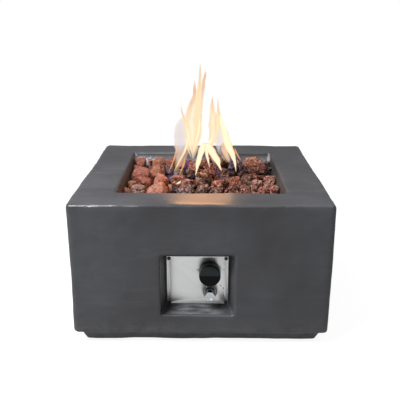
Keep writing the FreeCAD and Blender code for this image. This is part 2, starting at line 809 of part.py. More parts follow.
def make_burner_tray():
    body = new_body("burner_tray", (0, 0, LEDGE))
    flange_side = (LEDGE_HALF - S.tray_gap) * 2
    pan_side = PAN_HALF * 2
    inner_side = pan_side - S.tray_sheet * 2
    flange = rectangle(body, "flange_outline", "XY", 0, flange_side, flange_side)
    extrude(body, "Pad", "flange", flange, S.tray_sheet)
    fillet(body, "flange_corners", S.bowl_corner_round, lambda at, way, edge: abs(way.z) > 0.9)
    pan = rectangle(body, "pan_outline", "XY", -S.tray_drop, pan_side, pan_side)
    extrude(body, "Pad", "pan", pan, S.tray_drop)
    fillet(body, "pan_corners", S.pan_corner_round,
           lambda at, way, edge: abs(way.z) > 0.9 and at.z < 0)
    inner = new_sketch(body, "pan_inside_outline", "XY", S.tray_sheet)
    add_round_rectangle(inner, inner_side, inner_side, S.pan_corner_round - S.tray_sheet)
    extrude(body, "Pocket", "pan_inside", inner, S.tray_drop)
    floor = S.tray_sheet - S.tray_drop
    single = [(0, 0, S.spigot_diameter + S.hole_clearance)]
    for side in (-1, 1):
        single.append((PROBE_X * side, PILOT_AT, S.electrode_diameter + S.hole_clearance * 2))
        single.append((S.pilot_screw_pitch / 2 * side, PILOT_AT,
                       S.valve_screw_diameter + S.hole_clearance))
    holes = circles(body, "service_circles", "XY", floor, single)
    extrude(body, "Pocket", "service_holes", holes, S.tray_sheet)
    drain = circles(body, "drain_circle", "XY", floor, [(S.drain_circle / 2, 0, S.drain_diameter)])
    drain = extrude(body, "Pocket", "drain", drain, S.tray_sheet)
    turn_copies(body, "drains", drain, S.drain_count)
    bolt = circles(body, "shield_bolt_circle", "XY", floor,
                   [(-SHIELD_POST_AT, -SHIELD_POST_AT, S.shield_bolt_diameter + S.hole_clearance)])
    bolt = extrude(body, "Pocket", "shield_bolt_hole", bolt, S.tray_sheet)
    pattern(body, "shield_bolt_holes", bolt, SHIELD_POST_AT * 2, SHIELD_POST_AT * 2)
    screw = circles(body, "tray_screw_circle", "XY", S.tray_sheet,
                    [(-TRAY_SCREW_AT, -TRAY_SCREW_AT, S.tray_screw_diameter + S.hole_clearance)])
    screw = extrude(body, "Pocket", "tray_screw_hole", screw, S.tray_sheet)
    pattern(body, "tray_screw_holes", screw, TRAY_SCREW_AT * 2, TRAY_SCREW_AT * 2)


def make_tray_screws():
    body = new_body("tray_screws", (0, 0, LEDGE + S.tray_sheet))
    outline = screw_outline(S.tray_head_diameter, S.tray_head_height, S.tray_screw_diameter,
                            S.tray_screw_length)
    screw = turn(body, "Revolution", "screw", flipped(outline), (-TRAY_SCREW_AT, -TRAY_SCREW_AT))
    pattern(body, "screws", screw, TRAY_SCREW_AT * 2, TRAY_SCREW_AT * 2)


def make_heat_shield():
    body = new_body("heat_shield", (0, 0, SHIELD_TOP))
    outline = rectangle(body, "outline", "XY", 0, S.shield_side, S.shield_side)
    extrude(body, "Pad", "plate", outline, S.shield_sheet, backward=True)
    middle = circles(body, "mixer_circle", "XY", 0,
                     [(0, 0, S.mixer_diameter + S.mixer_hole_margin * 2)])
    extrude(body, "Pocket", "mixer_hole", middle, S.shield_sheet)
    slot = rectangle(body, "lead_slot_outline", "XY", 0, S.lead_slot_width, S.lead_slot_depth,
                     (0, PILOT_AT))
    extrude(body, "Pocket", "lead_slot", slot, S.shield_sheet)
    bolt = circles(body, "bolt_circle", "XY", 0,
                   [(-SHIELD_POST_AT, -SHIELD_POST_AT, S.shield_bolt_diameter + S.hole_clearance)])
    bolt = extrude(body, "Pocket", "bolt_hole", bolt, S.shield_sheet)
    pattern(body, "bolt_holes", bolt, SHIELD_POST_AT * 2, SHIELD_POST_AT * 2)


def make_shield_spacers():
    body = new_body("shield_spacers", (0, 0, SHIELD_TOP))
    bore = (S.shield_bolt_diameter + S.close_clearance) / 2
    edge = S.shield_post_diameter / 2
    outline = [(bore, 0), (edge, 0), (edge, S.shield_drop), (bore, S.shield_drop)]
    spacer = turn(body, "Revolution", "spacer", outline, (-SHIELD_POST_AT, -SHIELD_POST_AT))
    pattern(body, "spacers", spacer, SHIELD_POST_AT * 2, SHIELD_POST_AT * 2)


def make_shield_bolts():
    body = new_body("shield_bolts", (0, 0, SHIELD_TOP - S.shield_sheet))
    length = S.shield_sheet + S.shield_drop + S.tray_sheet + S.shield_nut_thickness
    outline = screw_outline(S.shield_post_diameter, S.shield_head_height,
                            S.shield_bolt_diameter, length)
    bolt = turn(body, "Revolution", "bolt", outline, (-SHIELD_POST_AT, -SHIELD_POST_AT))
    pattern(body, "bolts", bolt, SHIELD_POST_AT * 2, SHIELD_POST_AT * 2)


def make_shield_nuts():
    body = new_body("shield_nuts", (0, 0, PAN_FLOOR))
    sketch = new_sketch(body, "hexagon", "XY", 0, (-SHIELD_POST_AT, -SHIELD_POST_AT))
    add_outline(sketch, hexagon_points(S.shield_nut_flats))
    add_circles(sketch, [(0, 0, S.shield_bolt_diameter + S.close_clearance)])
    nut = extrude(body, "Pad", "nut", sketch, S.shield_nut_thickness)
    pattern(body, "nuts", nut, SHIELD_POST_AT * 2, SHIELD_POST_AT * 2)


# ---- burner, mixer and injector ------------------------------------------------

def make_burner():
    body = new_body("burner_ring", (0, 0, PAN_FLOOR + S.burner_height))
    ring = S.ring_diameter / 2
    bore = S.burner_tube - S.burner_tube_wall * 2
    section = circles(body, "ring_section", "XZ", 0, [(ring, 0, S.burner_tube)])
    torus = body.newObject("PartDesign::Revolution", "ring")
    torus.Profile = section
    torus.ReferenceAxis = (section, ["V_Axis"])
    doc.recompute()
    section = circles(body, "bar_section", "YZ", 0, [(0, 0, S.burner_tube)])
    extrude(body, "Pad", "bar", section, S.ring_diameter, middle=True)
    hub = S.hub_diameter / 2
    spigot = S.spigot_diameter / 2
    seat = -S.burner_height
    top = S.burner_tube / 2 + S.hub_proud
    foot = seat - S.spigot_length
    turn(body, "Revolution", "hub", [(0, foot), (spigot, foot), (spigot, seat), (hub, seat),
                                     (hub, top), (0, top)])
    section = circles(body, "ring_bore_section", "XZ", 0, [(ring, 0, bore)])
    hollow = body.newObject("PartDesign::Groove", "ring_bore")
    hollow.Profile = section
    hollow.ReferenceAxis = (section, ["V_Axis"])
    doc.recompute()
    section = circles(body, "bar_bore_section", "YZ", 0, [(0, 0, bore)])
    extrude(body, "Pocket", "bar_bore", section, S.ring_diameter, middle=True)
    feed = S.spigot_bore / 2
    turn(body, "Groove", "feed", [(0, foot), (feed, foot), (feed, 0), (0, 0)])
    port = circles(body, "port_circle", "XY", top, [(ring, 0, S.port_diameter)])
    port = extrude(body, "Pocket", "port", port, top)
    turn_copies(body, "ports", port, S.ring_ports)
    row = []
    for index in range(int(S.bar_ports.number)):
        for side in (-1, 1):
            row.append(((S.bar_port_start + S.bar_port_pitch * index) * side, 0, S.port_diameter))
    row = circles(body, "bar_port_circles", "XY", top, row)
    extrude(body, "Pocket", "bar_ports", row, top)


def hex_nut(name, place, flats, thickness, bore, rotation=UPRIGHT, flat_on_top=True):
    body = new_body(name, place, rotation)
    sketch = new_sketch(body, "hexagon", "XY")
    add_outline(sketch, hexagon_points(flats, flat_on_top))
    add_circles(sketch, [(0, 0, bore)])
    extrude(body, "Pad", "nut", sketch, thickness)


def make_hub_nut():
    hex_nut("hub_nut", (0, 0, PAN_UNDER - S.hub_nut_thickness), S.hub_nut_flats,
            S.hub_nut_thickness, S.spigot_diameter + S.close_clearance)


def make_mixer():
    """A brass tube that hangs on the spigot, with air windows above the jet."""
    body = new_body("mixer_tube", (0, 0, MIXER_FOOT))
    edge = S.mixer_diameter / 2
    throat = S.mixer_bore / 2
    top = S.mixer_length
    socket = (S.spigot_diameter + S.close_clearance) / 2
    socket_floor = PAN_FLOOR - S.spigot_length - MIXER_FOOT - S.close_clearance
    stub = (S.elbow_stub_diameter + S.close_clearance) / 2
    turn(body, "Revolution", "tube", [(stub, 0), (edge, 0), (edge, top), (socket, top),
                                      (socket, socket_floor), (throat, socket_floor),
                                      (throat, S.elbow_stub), (stub, S.elbow_stub)])
    middle = S.elbow_stub + S.jet_length
    for plane in ("XZ", "YZ"):
        window = rectangle(body, f"window_outline_{plane}", plane, 0, S.air_window_width,
                           S.air_window_height, (0, middle))
        extrude(body, "Pocket", f"window_{plane}", window,
                S.mixer_diameter + S.cut_margin * 2, middle=True)


def make_elbow():
    body = new_body("injector_elbow", (0, 0, MIXER_FOOT))
    edge = S.elbow_diameter / 2
    stub = S.elbow_stub_diameter / 2
    foot = -S.elbow_drop
    turn(body, "Revolution", "column", [(0, foot), (edge, foot), (edge, 0), (stub, 0),
                                        (stub, S.elbow_stub), (0, S.elbow_stub)])
    middle = foot / 2
    arm = circles(body, "arm_circle", "YZ", 0, [(0, middle, S.elbow_arm_diameter)])
    extrude(body, "Pad", "arm", arm, S.elbow_reach, backward=True)
    thread = circles(body, "thread_circle", "YZ", 0, [(0, middle, S.boss_thread_diameter)])
    extrude(body, "Pad", "thread", thread, ELBOW_END, backward=True)
    bore = circles(body, "arm_bore_circle", "YZ", -ELBOW_END, [(0, middle, S.gas_bore)])
    extrude(body, "Pocket", "arm_bore", bore, ELBOW_END, backward=True)
    bore = circles(body, "column_bore_circle", "XY", S.elbow_stub, [(0, 0, S.gas_bore)])
    extrude(body, "Pocket", "column_bore", bore, S.elbow_stub - middle)


def make_jet():
    body = new_body("injector_jet", (0, 0, MIXER_FOOT + S.elbow_stub))
    edge = S.jet_diameter / 2
    bore = S.jet_bore / 2
    tip = S.jet_tip_diameter / 2
    shoulder = S.jet_length - S.jet_taper
    turn(body, "Revolution", "jet", [(bore, 0), (edge, 0), (edge, shoulder),
                                     (tip, S.jet_length), (bore, S.jet_length)])


# ---- flame sensor and spark electrode ------------------------------------------

def make_pilot_bracket():
    body = new_body("pilot_bracket", (0, PILOT_AT, PAN_FLOOR))
    outline = rectangle(body, "outline", "XY", 0, S.pilot_plate_width, S.pilot_plate_depth)
    extrude(body, "Pad", "plate", outline, S.pilot_plate_sheet)
    holes = [(PROBE_X, 0, S.probe_diameter + S.close_clearance),
             (-PROBE_X, 0, S.electrode_diameter + S.close_clearance)]
    for side in (-1, 1):
        holes.append((S.pilot_screw_pitch / 2 * side, 0,
                      S.valve_screw_diameter + S.hole_clearance))
    holes = circles(body, "hole_circles", "XY", S.pilot_plate_sheet, holes)
    extrude(body, "Pocket", "holes", holes, S.pilot_plate_sheet)


def make_pilot_screws():
    body = new_body("pilot_screws", (0, PILOT_AT, PAN_FLOOR + S.pilot_plate_sheet))
    outline = screw_outline(S.panel_head_diameter, S.panel_head_height, S.valve_screw_diameter,
                            S.pilot_plate_sheet + S.tray_sheet + S.pilot_screw_proud)
    for side in (-1, 1):
        turn(body, "Revolution", f"screw_{side + 1}", flipped(outline),
             (S.pilot_screw_pitch / 2 * side, 0))


def pilot_rod(name, across, diameter, bore):
    """A rod held by a collar on the pilot bracket, with the lead's end under it."""
    body = new_body(name, (across, PILOT_AT, PAN_FLOOR + S.pilot_plate_sheet))
    edge = as_length(diameter) / 2
    bore = as_length(bore) / 2
    collar = S.pilot_collar / 2
    turn(body, "Revolution", "rod", [(bore, PROBE_FOOT), (edge, PROBE_FOOT), (edge, 0),
                                     (collar, 0), (collar, S.pilot_collar_height),
                                     (edge, S.pilot_collar_height), (edge, S.pilot_rise),
                                     (bore, S.pilot_rise)])


def make_flame_sensor():
    pilot_rod("flame_sensor", PROBE_X, S.probe_diameter, 0)


def make_electrode():
    wire = S.electrode_wire_diameter
    pilot_rod("electrode_ceramic", -PROBE_X, S.electrode_diameter, wire + S.close_clearance)
    body = new_body("electrode_wire", (-PROBE_X, PILOT_AT, PAN_FLOOR + S.pilot_plate_sheet))
    section = circles(body, "section", "XY", PROBE_FOOT, [(0, 0, wire)])
    extrude(body, "Pad", "wire", section, S.pilot_rise + S.pilot_tip - PROBE_FOOT)


# ---- control panel --------------------------------------------------------------

def make_panel():
    body = new_body("control_panel", (S.panel_x, PANEL_BACK, S.panel_z), FORWARD)
    face = S.panel_thickness
    outline = rectangle(body, "outline", "XY", 0, S.panel_width, S.panel_height)
    extrude(body, "Pad", "plate", outline, face)
    fillet(body, "corners", S.panel_corner_round, lambda at, way, edge: abs(way.z) > 0.9)
    corner = circles(body, "screw_circle", "XY", face,
                     [(-S.panel_screw_pitch_x / 2, -S.panel_screw_pitch_z / 2,
                       S.panel_screw_diameter + S.hole_clearance)])
    corner = extrude(body, "Pocket", "screw_hole", corner, face)
    pattern(body, "screw_holes", corner, S.panel_screw_pitch_x, S.panel_screw_pitch_z)
    knob_at = (S.valve_x - S.panel_x, S.valve_z - S.panel_z)
    igniter_at = (S.igniter_x - S.panel_x, S.igniter_z - S.panel_z)
    holes = [(knob_at[0], knob_at[1], S.stem_diameter + S.hole_clearance * 2),
             (igniter_at[0], igniter_at[1], S.barrel_diameter + S.hole_clearance)]
    holes = circles(body, "control_circles", "XY", face, holes)
    extrude(body, "Pocket", "control_holes", holes, face)
    shank = (S.valve_screw_diameter + S.hole_clearance) / 2
    sink = [(0, 0), (shank, 0), (shank + face, face), (0, face)]
    for side in (-1, 1):
        at = (knob_at[0] + S.valve_screw_pitch / 2 * side, knob_at[1])
        turn(body, "Groove", f"countersink_{side + 1}", sink, at)


def make_panel_screws():
    body = new_body("panel_screws", (S.panel_x, PANEL_BACK, S.panel_z), FORWARD)
    outline = screw_outline(S.panel_head_diameter, S.panel_head_height, S.panel_screw_diameter,
                            S.panel_thickness + S.insert_length - S.end_gap,
                            -S.panel_thickness)
    screw = turn(body, "Revolution", "screw", flipped(outline),
                 (-S.panel_screw_pitch_x / 2, -S.panel_screw_pitch_z / 2))
    pattern(body, "screws", screw, S.panel_screw_pitch_x, S.panel_screw_pitch_z)


def make_panel_inserts():
    """Threaded sleeves cast into the back of the bay for the panel's screws."""
    body = new_body("panel_inserts", (S.panel_x, PANEL_BACK, S.panel_z), FORWARD)
    bore = (S.panel_screw_diameter + S.close_clearance) / 2
    edge = S.insert_diameter / 2
    outline = [(bore, -S.insert_length), (edge, -S.insert_length), (edge, 0), (bore, 0)]
    sleeve = turn(body, "Revolution", "sleeve", outline,
                  (-S.panel_screw_pitch_x / 2, -S.panel_screw_pitch_z / 2))
    pattern(body, "sleeves", sleeve, S.panel_screw_pitch_x, S.panel_screw_pitch_z)


# ---- gas valve and knob -----------------------------------------------------------

def make_valve_body():
    body = new_body("valve_body", VALVE_PLACE, FORWARD)
    edge = S.valve_diameter / 2
    stem = S.stem_diameter / 2 + S.shaft_clearance
    rod = S.rod_diameter / 2 + S.shaft_clearance
    chamber = S.valve_chamber_diameter / 2
    ceiling = -S.valve_front_wall
    floor = ceiling - S.valve_chamber_length
    turn(body, "Revolution", "barrel", [(stem, 0), (edge, 0), (edge, -S.valve_length),
                                        (rod, -S.valve_length), (rod, floor), (chamber, floor),
                                        (chamber, ceiling), (stem, ceiling)])
    wall = (S.valve_diameter - S.valve_chamber_diameter) / 4 + chamber
    for name, side in (("inlet", 1), ("outlet", -1)):
        boss = circles(body, f"{name}_boss_circle", "YZ", wall * side,
                       [(0, -S.boss_depth, S.boss_diameter)])
        extrude(body, "Pad", f"{name}_boss", boss, S.boss_reach - wall, backward=side < 0)
        thread = circles(body, f"{name}_thread_circle", "YZ", wall * side,
                         [(0, -S.boss_depth, S.boss_thread_diameter)])
        extrude(body, "Pad", f"{name}_thread", thread, BOSS_END - wall, backward=side < 0)
        bore = circles(body, f"{name}_bore_circle", "YZ", BOSS_END * side,
                       [(0, -S.boss_depth, S.gas_bore)])
        extrude(body, "Pocket", f"{name}_bore", bore, BOSS_END, backward=side < 0)
    screws = [(S.valve_screw_pitch / 2 * side, 0, S.valve_screw_diameter + S.close_clearance)
              for side in (-1, 1)]
    holes = circles(body, "screw_circles", "XY", 0, screws)
    extrude(body, "Pocket", "screw_holes", holes, S.valve_screw_length)


def make_valve_screws():
    """Two flush screws that hold the valve to the panel, hidden under the knob."""
    body = new_body("valve_screws", VALVE_PLACE, FORWARD)
    face = S.panel_thickness
    shank = S.valve_screw_diameter / 2
    foot = S.end_gap - S.valve_screw_length
    outline = [(0, foot), (shank, foot), (shank, S.close_clearance),
               (shank + face - S.close_clearance, face), (0, face)]
    for side in (-1, 1):
        turn(body, "Revolution", f"screw_{side + 1}", outline,
             (S.valve_screw_pitch / 2 * side, 0))


def make_safety_magnet():
    """The hollow magnet unit behind the valve, which the push rod reaches into."""
    body = new_body("safety_magnet", VALVE_PLACE, FORWARD)
    edge = S.magnet_diameter / 2
    inner = edge - S.magnet_wall
    front = -S.valve_length
    back = front - S.magnet_length
    turn(body, "Revolution", "can", [(0, back), (edge, back), (edge, front), (inner, front),
                                     (inner, back + S.magnet_wall * 2),
                                     (0, back + S.magnet_wall * 2)])


def make_sensor_nut():
    place = (S.valve_x, PANEL_BACK + LEAD_NUT_END, S.valve_z)
    hex_nut("sensor_lead_nut", place, S.lead_nut_flats, S.lead_nut_length,
            S.lead_diameter + S.close_clearance, FORWARD)


def make_push_rod():
    body = new_body("valve_push_rod", VALVE_PLACE, FORWARD)
    rod = S.rod_diameter / 2
    head = S.rod_head_diameter / 2
    foot = -(S.valve_length + S.knob_travel + S.rod_tail)
    turn(body, "Revolution", "rod", [(0, foot), (rod, foot), (rod, ROD_HEAD_UNDER),
                                     (head, ROD_HEAD_UNDER), (head, COLLAR_UNDER),
                                     (0, COLLAR_UNDER)])


def make_stem():
    body = new_body("valve_stem", VALVE_PLACE, FORWARD)
    shaft = S.stem_diameter / 2
    collar = S.stem_collar_diameter / 2
    turn(body, "Revolution", "shaft", [(0, COLLAR_UNDER), (collar, COLLAR_UNDER),
                                       (collar, COLLAR_TOP), (shaft, COLLAR_TOP),
                                       (shaft, STEM_END), (0, STEM_END)])
    flat = rectangle(body, "flat_outline", "XY", STEM_END, S.stem_diameter, S.stem_diameter,
                     (S.stem_flat + shaft, 0))
    extrude(body, "Pocket", "flat", flat, S.stem_grip - S.knob_boss_inset)


def spring(name, place, diameter, low, high, turns):
    """A round-wire compression spring between two levels on the body's own axis."""
    body = new_body(name, place, FORWARD)
    radius = (as_length(diameter) - S.spring_wire) / 2
    start = as_length(low) + S.spring_wire / 2 + S.close_clearance
    sketch = new_sketch(body, "wire", "XZ")
    add_circles(sketch, [(radius, start, S.spring_wire)])
    coil = body.newObject("PartDesign::AdditiveHelix", "coil")
    coil.Profile = sketch
    coil.ReferenceAxis = (sketch, ["V_Axis"])
    coil.Mode = "height-turns-growth"
    height = as_length(high) - start - S.spring_wire / 2 - S.close_clearance
    coil.setExpression("Height", height.text)
    coil.setExpression("Turns", as_length(turns).text)
    doc.recompute()


def make_valve_spring():
    floor = -(S.valve_front_wall + S.valve_chamber_length)
    spring("valve_spring", VALVE_PLACE, S.valve_spring_diameter, floor, ROD_HEAD_UNDER,
           S.valve_spring_turns)


def make_knob():
    body = new_body("control_knob", VALVE_PLACE, FORWARD)
    edge = S.knob_diameter / 2
    front_edge = S.knob_front_diameter / 2
    front = KNOB_BACK + S.knob_thickness
    ceiling = front - S.knob_wall
    boss = S.knob_boss_diameter / 2
    boss_end = KNOB_BACK + S.knob_boss_inset
    bore = (S.stem_diameter + S.close_clearance) / 2
    bore_end = STEM_END + S.close_clearance
    turn(body, "Revolution", "shell", [(bore, boss_end), (boss, boss_end), (boss, ceiling),
                                       (edge - S.knob_wall, ceiling),
                                       (edge - S.knob_wall, KNOB_BACK), (edge, KNOB_BACK),
                                       (front_edge, front), (0, front), (0, bore_end),
                                       (bore, bore_end)])
    fillet(body, "front_edge", S.knob_edge_round, lambda at, way, edge: near(at.z, front))
    flat_from = S.stem_flat + S.close_clearance
    flat_width = bore - flat_from + S.join_overlap
    flat = rectangle(body, "flat_outline", "XY", bore_end, flat_width, S.stem_diameter,
                     (flat_from + flat_width / 2, 0))
    extrude(body, "Pad", "flat", flat, bore_end - boss_end, backward=True)


# ---- igniter -------------------------------------------------------------------

def make_bezel():
    body = new_body("igniter_bezel", IGNITER_PLACE, FORWARD)
    bore = S.button_diameter / 2 + S.close_clearance
    barrel = S.barrel_diameter / 2
    outer = S.bezel_diameter / 2
    seat = S.panel_thickness
    front = seat + S.bezel_thickness
    foot = -S.barrel_length
    guide = S.plunger_diameter / 2 + S.close_clearance
    turn(body, "Revolution", "collar", [(bore, front), (outer, front), (outer, seat),
                                        (barrel, seat), (barrel, foot), (guide, foot),
                                        (guide, foot + S.stop_thickness),
                                        (bore, foot + S.stop_thickness)])
    fillet(body, "front_edge", S.bezel_round,
           lambda at, way, edge: near(at.z, front) and math.hypot(at.x, at.y)
           > (outer - S.bezel_round).number)


def make_button():
    body = new_body("igniter_button", IGNITER_PLACE, FORWARD)
    edge = S.button_diameter / 2
    inner = edge - S.button_wall
    plunger = S.plunger_diameter / 2
    front = S.panel_thickness + S.button_proud
    foot = -(S.barrel_length + S.plunger_tail)
    turn(body, "Revolution", "cap", [(0, foot), (plunger, foot), (plunger, BUTTON_CEILING),
                                     (inner, BUTTON_CEILING), (inner, -S.button_tail),
                                     (edge, -S.button_tail), (edge, front), (0, front)])
    cap = body.Tip
    rim = next(index for index, line in enumerate(cap.Shape.Edges, start=1)
               if near(line.BoundBox.ZMin, front) and near(line.BoundBox.ZMax, front))
    bevel = body.newObject("PartDesign::Chamfer", "bevel")
    bevel.Base = (cap, [f"Edge{rim}"])
    bevel.setExpression("Size", S.button_bevel.text)
    doc.recompute()


def make_igniter_body():
    body = new_body("igniter_body", IGNITER_PLACE, FORWARD)
    edge = S.igniter_body_diameter / 2
    bore = S.plunger_diameter / 2 + S.close_clearance
    front = -S.barrel_length
    back = front - S.igniter_body_length
    terminal = S.terminal_diameter / 2
    end = back - S.terminal_length
    bore_end = front - S.plunger_tail - S.button_travel - S.end_gap
    turn(body, "Revolution", "housing", [(0, end), (terminal, end), (terminal, back),
                                         (edge, back), (edge, front), (bore, front),
                                         (bore, bore_end), (0, bore_end)])


def make_igniter_nut():
    place = (S.igniter_x, PANEL_BACK + S.igniter_nut_thickness, S.igniter_z)
    hex_nut("igniter_nut", place, S.igniter_nut_flats, S.igniter_nut_thickness,
            S.barrel_diameter + S.close_clearance, FORWARD)


def make_igniter_spring():
    spring("igniter_spring", IGNITER_PLACE, S.igniter_spring_diameter,
           S.stop_thickness - S.barrel_length, BUTTON_CEILING, S.igniter_spring_turns)


# ---- gas inlet, pipes and leads ---------------------------------------------------

def make_inlet_fitting():
    body = new_body("inlet_fitting", (S.pocket_x, POCKET_BACK, S.pocket_z), BACKWARD)
    sketch = new_sketch(body, "hexagon", "XY")
    add_outline(sketch, hexagon_points(S.inlet_flats))
    extrude(body, "Pad", "hexagon_collar", sketch, S.inlet_hex_thickness)
    thread = S.inlet_thread_diameter / 2
    tail = S.boss_thread_diameter / 2
    nose = S.inlet_hex_thickness + S.inlet_thread_length
    chamfer = S.inlet_thread_chamfer
    shoulder = -INLET_SHOULDER
    end = shoulder - S.inlet_tail
    turn(body, "Revolution", "nipple", [(0, end), (tail, end), (tail, shoulder),
                                        (thread, shoulder), (thread, nose - chamfer),
                                        (thread - chamfer, nose), (0, nose)])
    bore = circles(body, "bore_circle", "XY", nose, [(0, 0, S.gas_bore)])
    extrude(body, "Pocket", "bore", bore, nose - end)


def make_inlet_nut():
    place = (S.pocket_x, POCKET_BACK - S.recess_wall - S.inlet_nut_thickness, S.pocket_z)
    hex_nut("inlet_lock_nut", place, S.inlet_flats, S.inlet_nut_thickness,
            S.inlet_thread_diameter + S.close_clearance, BACKWARD)


def pipe_nut(name, place, rotation):
    """A union nut over the end of a boss: wide over the thread, narrow over the pipe."""
    body = new_body(name, place, rotation)
    sketch = new_sketch(body, "hexagon", "XY", -S.pipe_nut_overlap)
    add_outline(sketch, hexagon_points(S.pipe_nut_flats))
    extrude(body, "Pad", "nut", sketch, S.pipe_nut_length)
    wide = (S.boss_thread_diameter + S.close_clearance) / 2
    narrow = (S.pipe_diameter + S.close_clearance) / 2
    end = S.pipe_nut_length - S.pipe_nut_overlap
    turn(body, "Groove", "bore", [(0, -S.pipe_nut_overlap), (wide, -S.pipe_nut_overlap),
                                  (wide, 0), (narrow, 0), (narrow, end), (0, end)])


def make_pipe_nuts():
    pipe_nut("supply_nut_inlet", (S.pocket_x, INLET_END_Y, S.pocket_z), FORWARD)
    pipe_nut("supply_nut_valve", (S.valve_x + BOSS_END, PORT_Y, S.valve_z), TO_RIGHT)
    pipe_nut("outlet_nut_valve", (S.valve_x - BOSS_END, PORT_Y, S.valve_z), TO_LEFT)
    pipe_nut("outlet_nut_injector", (-ELBOW_END, 0, ELBOW_Z), TO_LEFT)


def bent_path(points, bend):
    """Straight runs through the points, joined by tangent arcs of one radius."""
    corners = [FreeCAD.Vector(*[as_length(value).number for value in point])
               for point in points]
    edges = []
    start = corners[0]
    for before, corner, after in zip(corners, corners[1:], corners[2:]):
        back = (before - corner).normalize()
        ahead = (after - corner).normalize()
        half_turn = (math.pi - back.getAngle(ahead)) / 2
        reach = bend * math.tan(half_turn)
        inward = (back + ahead).normalize()
        middle = corner + inward * (bend / math.cos(half_turn) - bend)
        edges.append(Part.LineSegment(start, corner + back * reach).toShape())
        arc = Part.Arc(corner + back * reach, middle, corner + ahead * reach)
        edges.append(arc.toShape())
        start = corner + ahead * reach
    edges.append(Part.LineSegment(start, corners[-1]).toShape())
    return Part.Wire(edges)


def bent_tube(name, points, bend, outer, bore=None):
    """Sweep a round section along the path; a bore makes it a pipe."""
    path = bent_path(points, as_length(bend).number)
    start = path.Vertexes[0].Point
    way = path.Edges[0].tangentAt(path.Edges[0].FirstParameter)

    def sweep(diameter):
        section = Part.Wire(Part.makeCircle(as_length(diameter).number / 2, start, way))
        return path.makePipeShell([section], True, False)

    solid = sweep(outer)
    section_area = math.pi * (as_length(outer).number / 2) ** 2
    if bore:
        solid = solid.cut(sweep(bore))
        section_area -= math.pi * (as_length(bore).number / 2) ** 2
    if abs(solid.Volume / (section_area * path.Length) - 1) > 0.02:
        raise RuntimeError(f"{name}: the tube's volume is wrong")
    feature = doc.addObject("Part::Feature", name)
    feature.Label = name
    feature.Shape = solid
    feature.Placement = FreeCAD.Placement()


def make_pipes():
    inlet_side = S.valve_x + BOSS_END
    outlet_side = S.valve_x - BOSS_END
    bent_tube("supply_pipe", [(S.pocket_x, INLET_END_Y, S.pocket_z),
                              (S.pocket_x, PORT_Y, S.pocket_z),
                              (S.pocket_x, PORT_Y, S.valve_z),
                              (inlet_side, PORT_Y, S.valve_z)],
              S.pipe_bend, S.pipe_diameter, S.pipe_bore)
    side = outlet_side - S.outlet_side_run
    bent_tube("outlet_pipe", [(outlet_side, PORT_Y, S.valve_z), (side, PORT_Y, S.valve_z),
                              (side, 0, ELBOW_Z), (-ELBOW_END, 0, ELBOW_Z)],
              S.pipe_bend, S.pipe_diameter, S.pipe_bore)


def make_leads():
    rod_foot = PAN_UNDER - S.pilot_drop - S.lead_gap
    sensor_start = PANEL_BACK + S.valve_length + S.magnet_length + S.lead_gap
    bent_tube("sensor_lead", [(S.valve_x, sensor_start, S.valve_z),
                              (S.valve_x, sensor_start + S.sensor_lead_run, S.valve_z),
                              (PROBE_X, PILOT_AT, rod_foot)],
              S.sensor_lead_bend, S.lead_diameter)
    terminal = PANEL_BACK + S.barrel_length + S.igniter_body_length + S.terminal_length
    ignition_start = terminal + S.lead_gap
    bent_tube("ignition_lead", [(S.igniter_x, ignition_start, S.igniter_z),
                                (S.igniter_x - S.lead_step_left,
                                 ignition_start + S.ignition_lead_run, S.igniter_z),
                                (-PROBE_X, PILOT_AT, S.igniter_z + S.lead_rise),
                                (-PROBE_X, PILOT_AT, rod_foot)],
              S.ignition_lead_bend, S.lead_diameter)


# ---- lava rock --------------------------------------------------------------------
# Each rock is a convex block. Planes halfway to its neighbours, less a gap, keep the
# rocks apart, and random facets break their corners. The same seed gives the same pile.

# the visible rocks: places in percent of the bowl's half-width (right, back), then the
# top's depth under the rim and the rock's width, in mm
TOP_ROCKS = [
    # along the back wall
    (-90, 84, 6, 25), (-75, 87, 10, 15), (-63, 84, 4, 26), (-45, 86, 6, 22),
    (-28, 82, 9, 28), (-14, 68, 7, 22), (3, 84, 6, 26), (17, 72, 9, 22), (31, 83, 4, 24),
    (50, 84, 8, 26), (72, 81, 2, 38), (93, 84, 12, 16),
    # behind the middle
    (-84, 29, 6, 46), (-62, 55, 9, 26), (-46, 62, 11, 18), (-31, 38, 9, 22),
    (-15, 30, 10, 22), (11, 30, 6, 28), (28, 44, 10, 24), (43, 60, 8, 20),
    (59, 63, 12, 24), (79, 56, 6, 34), (95, 57, 15, 16), (-92, 60, 14, 22),
    # in front of the middle
    (-54, 2, 8, 28), (-93, -10, 16, 20), (-73, 4, 15, 20), (-34, 8, 12, 20),
    (-18, -10, 12, 22), (1, 4, 6, 30), (24, -16, 10, 26), (33, 12, 13, 22),
    (44, -8, 8, 30), (61, 16, 12, 22), (72, -18, 11, 24), (90, 2, 11, 24),
    (73, 30, 14, 18), (85, -20, 16, 18),
    # behind the front rim
    (-80, -38, 10, 26), (-55, -42, 6, 42), (-94, -44, 15, 20), (-20, -38, 12, 30),
    (2, -34, 13, 22), (17, -44, 14, 26), (38, -40, 13, 20), (55, -40, 12, 24),
    (77, -46, 14, 22), (91, -42, 13, 23),
    (-88, -76, 14, 34), (-62, -80, 16, 30), (-36, -74, 13, 34), (-10, -78, 17, 32),
    (14, -76, 13, 30), (38, -78, 16, 32), (62, -74, 14, 32), (86, -78, 15, 34),
]
# the rocks under them stand in rows, at these percentages of the pan's half-width
LOW_ROCK_ROWS = (-83, -50, -17, 17, 50, 83)
# how far a rock's top tilts, and how far out its broken facets lie, as shares
ROCK_TILT = 0.25
FACET_REACH = (0.84, 1.04)


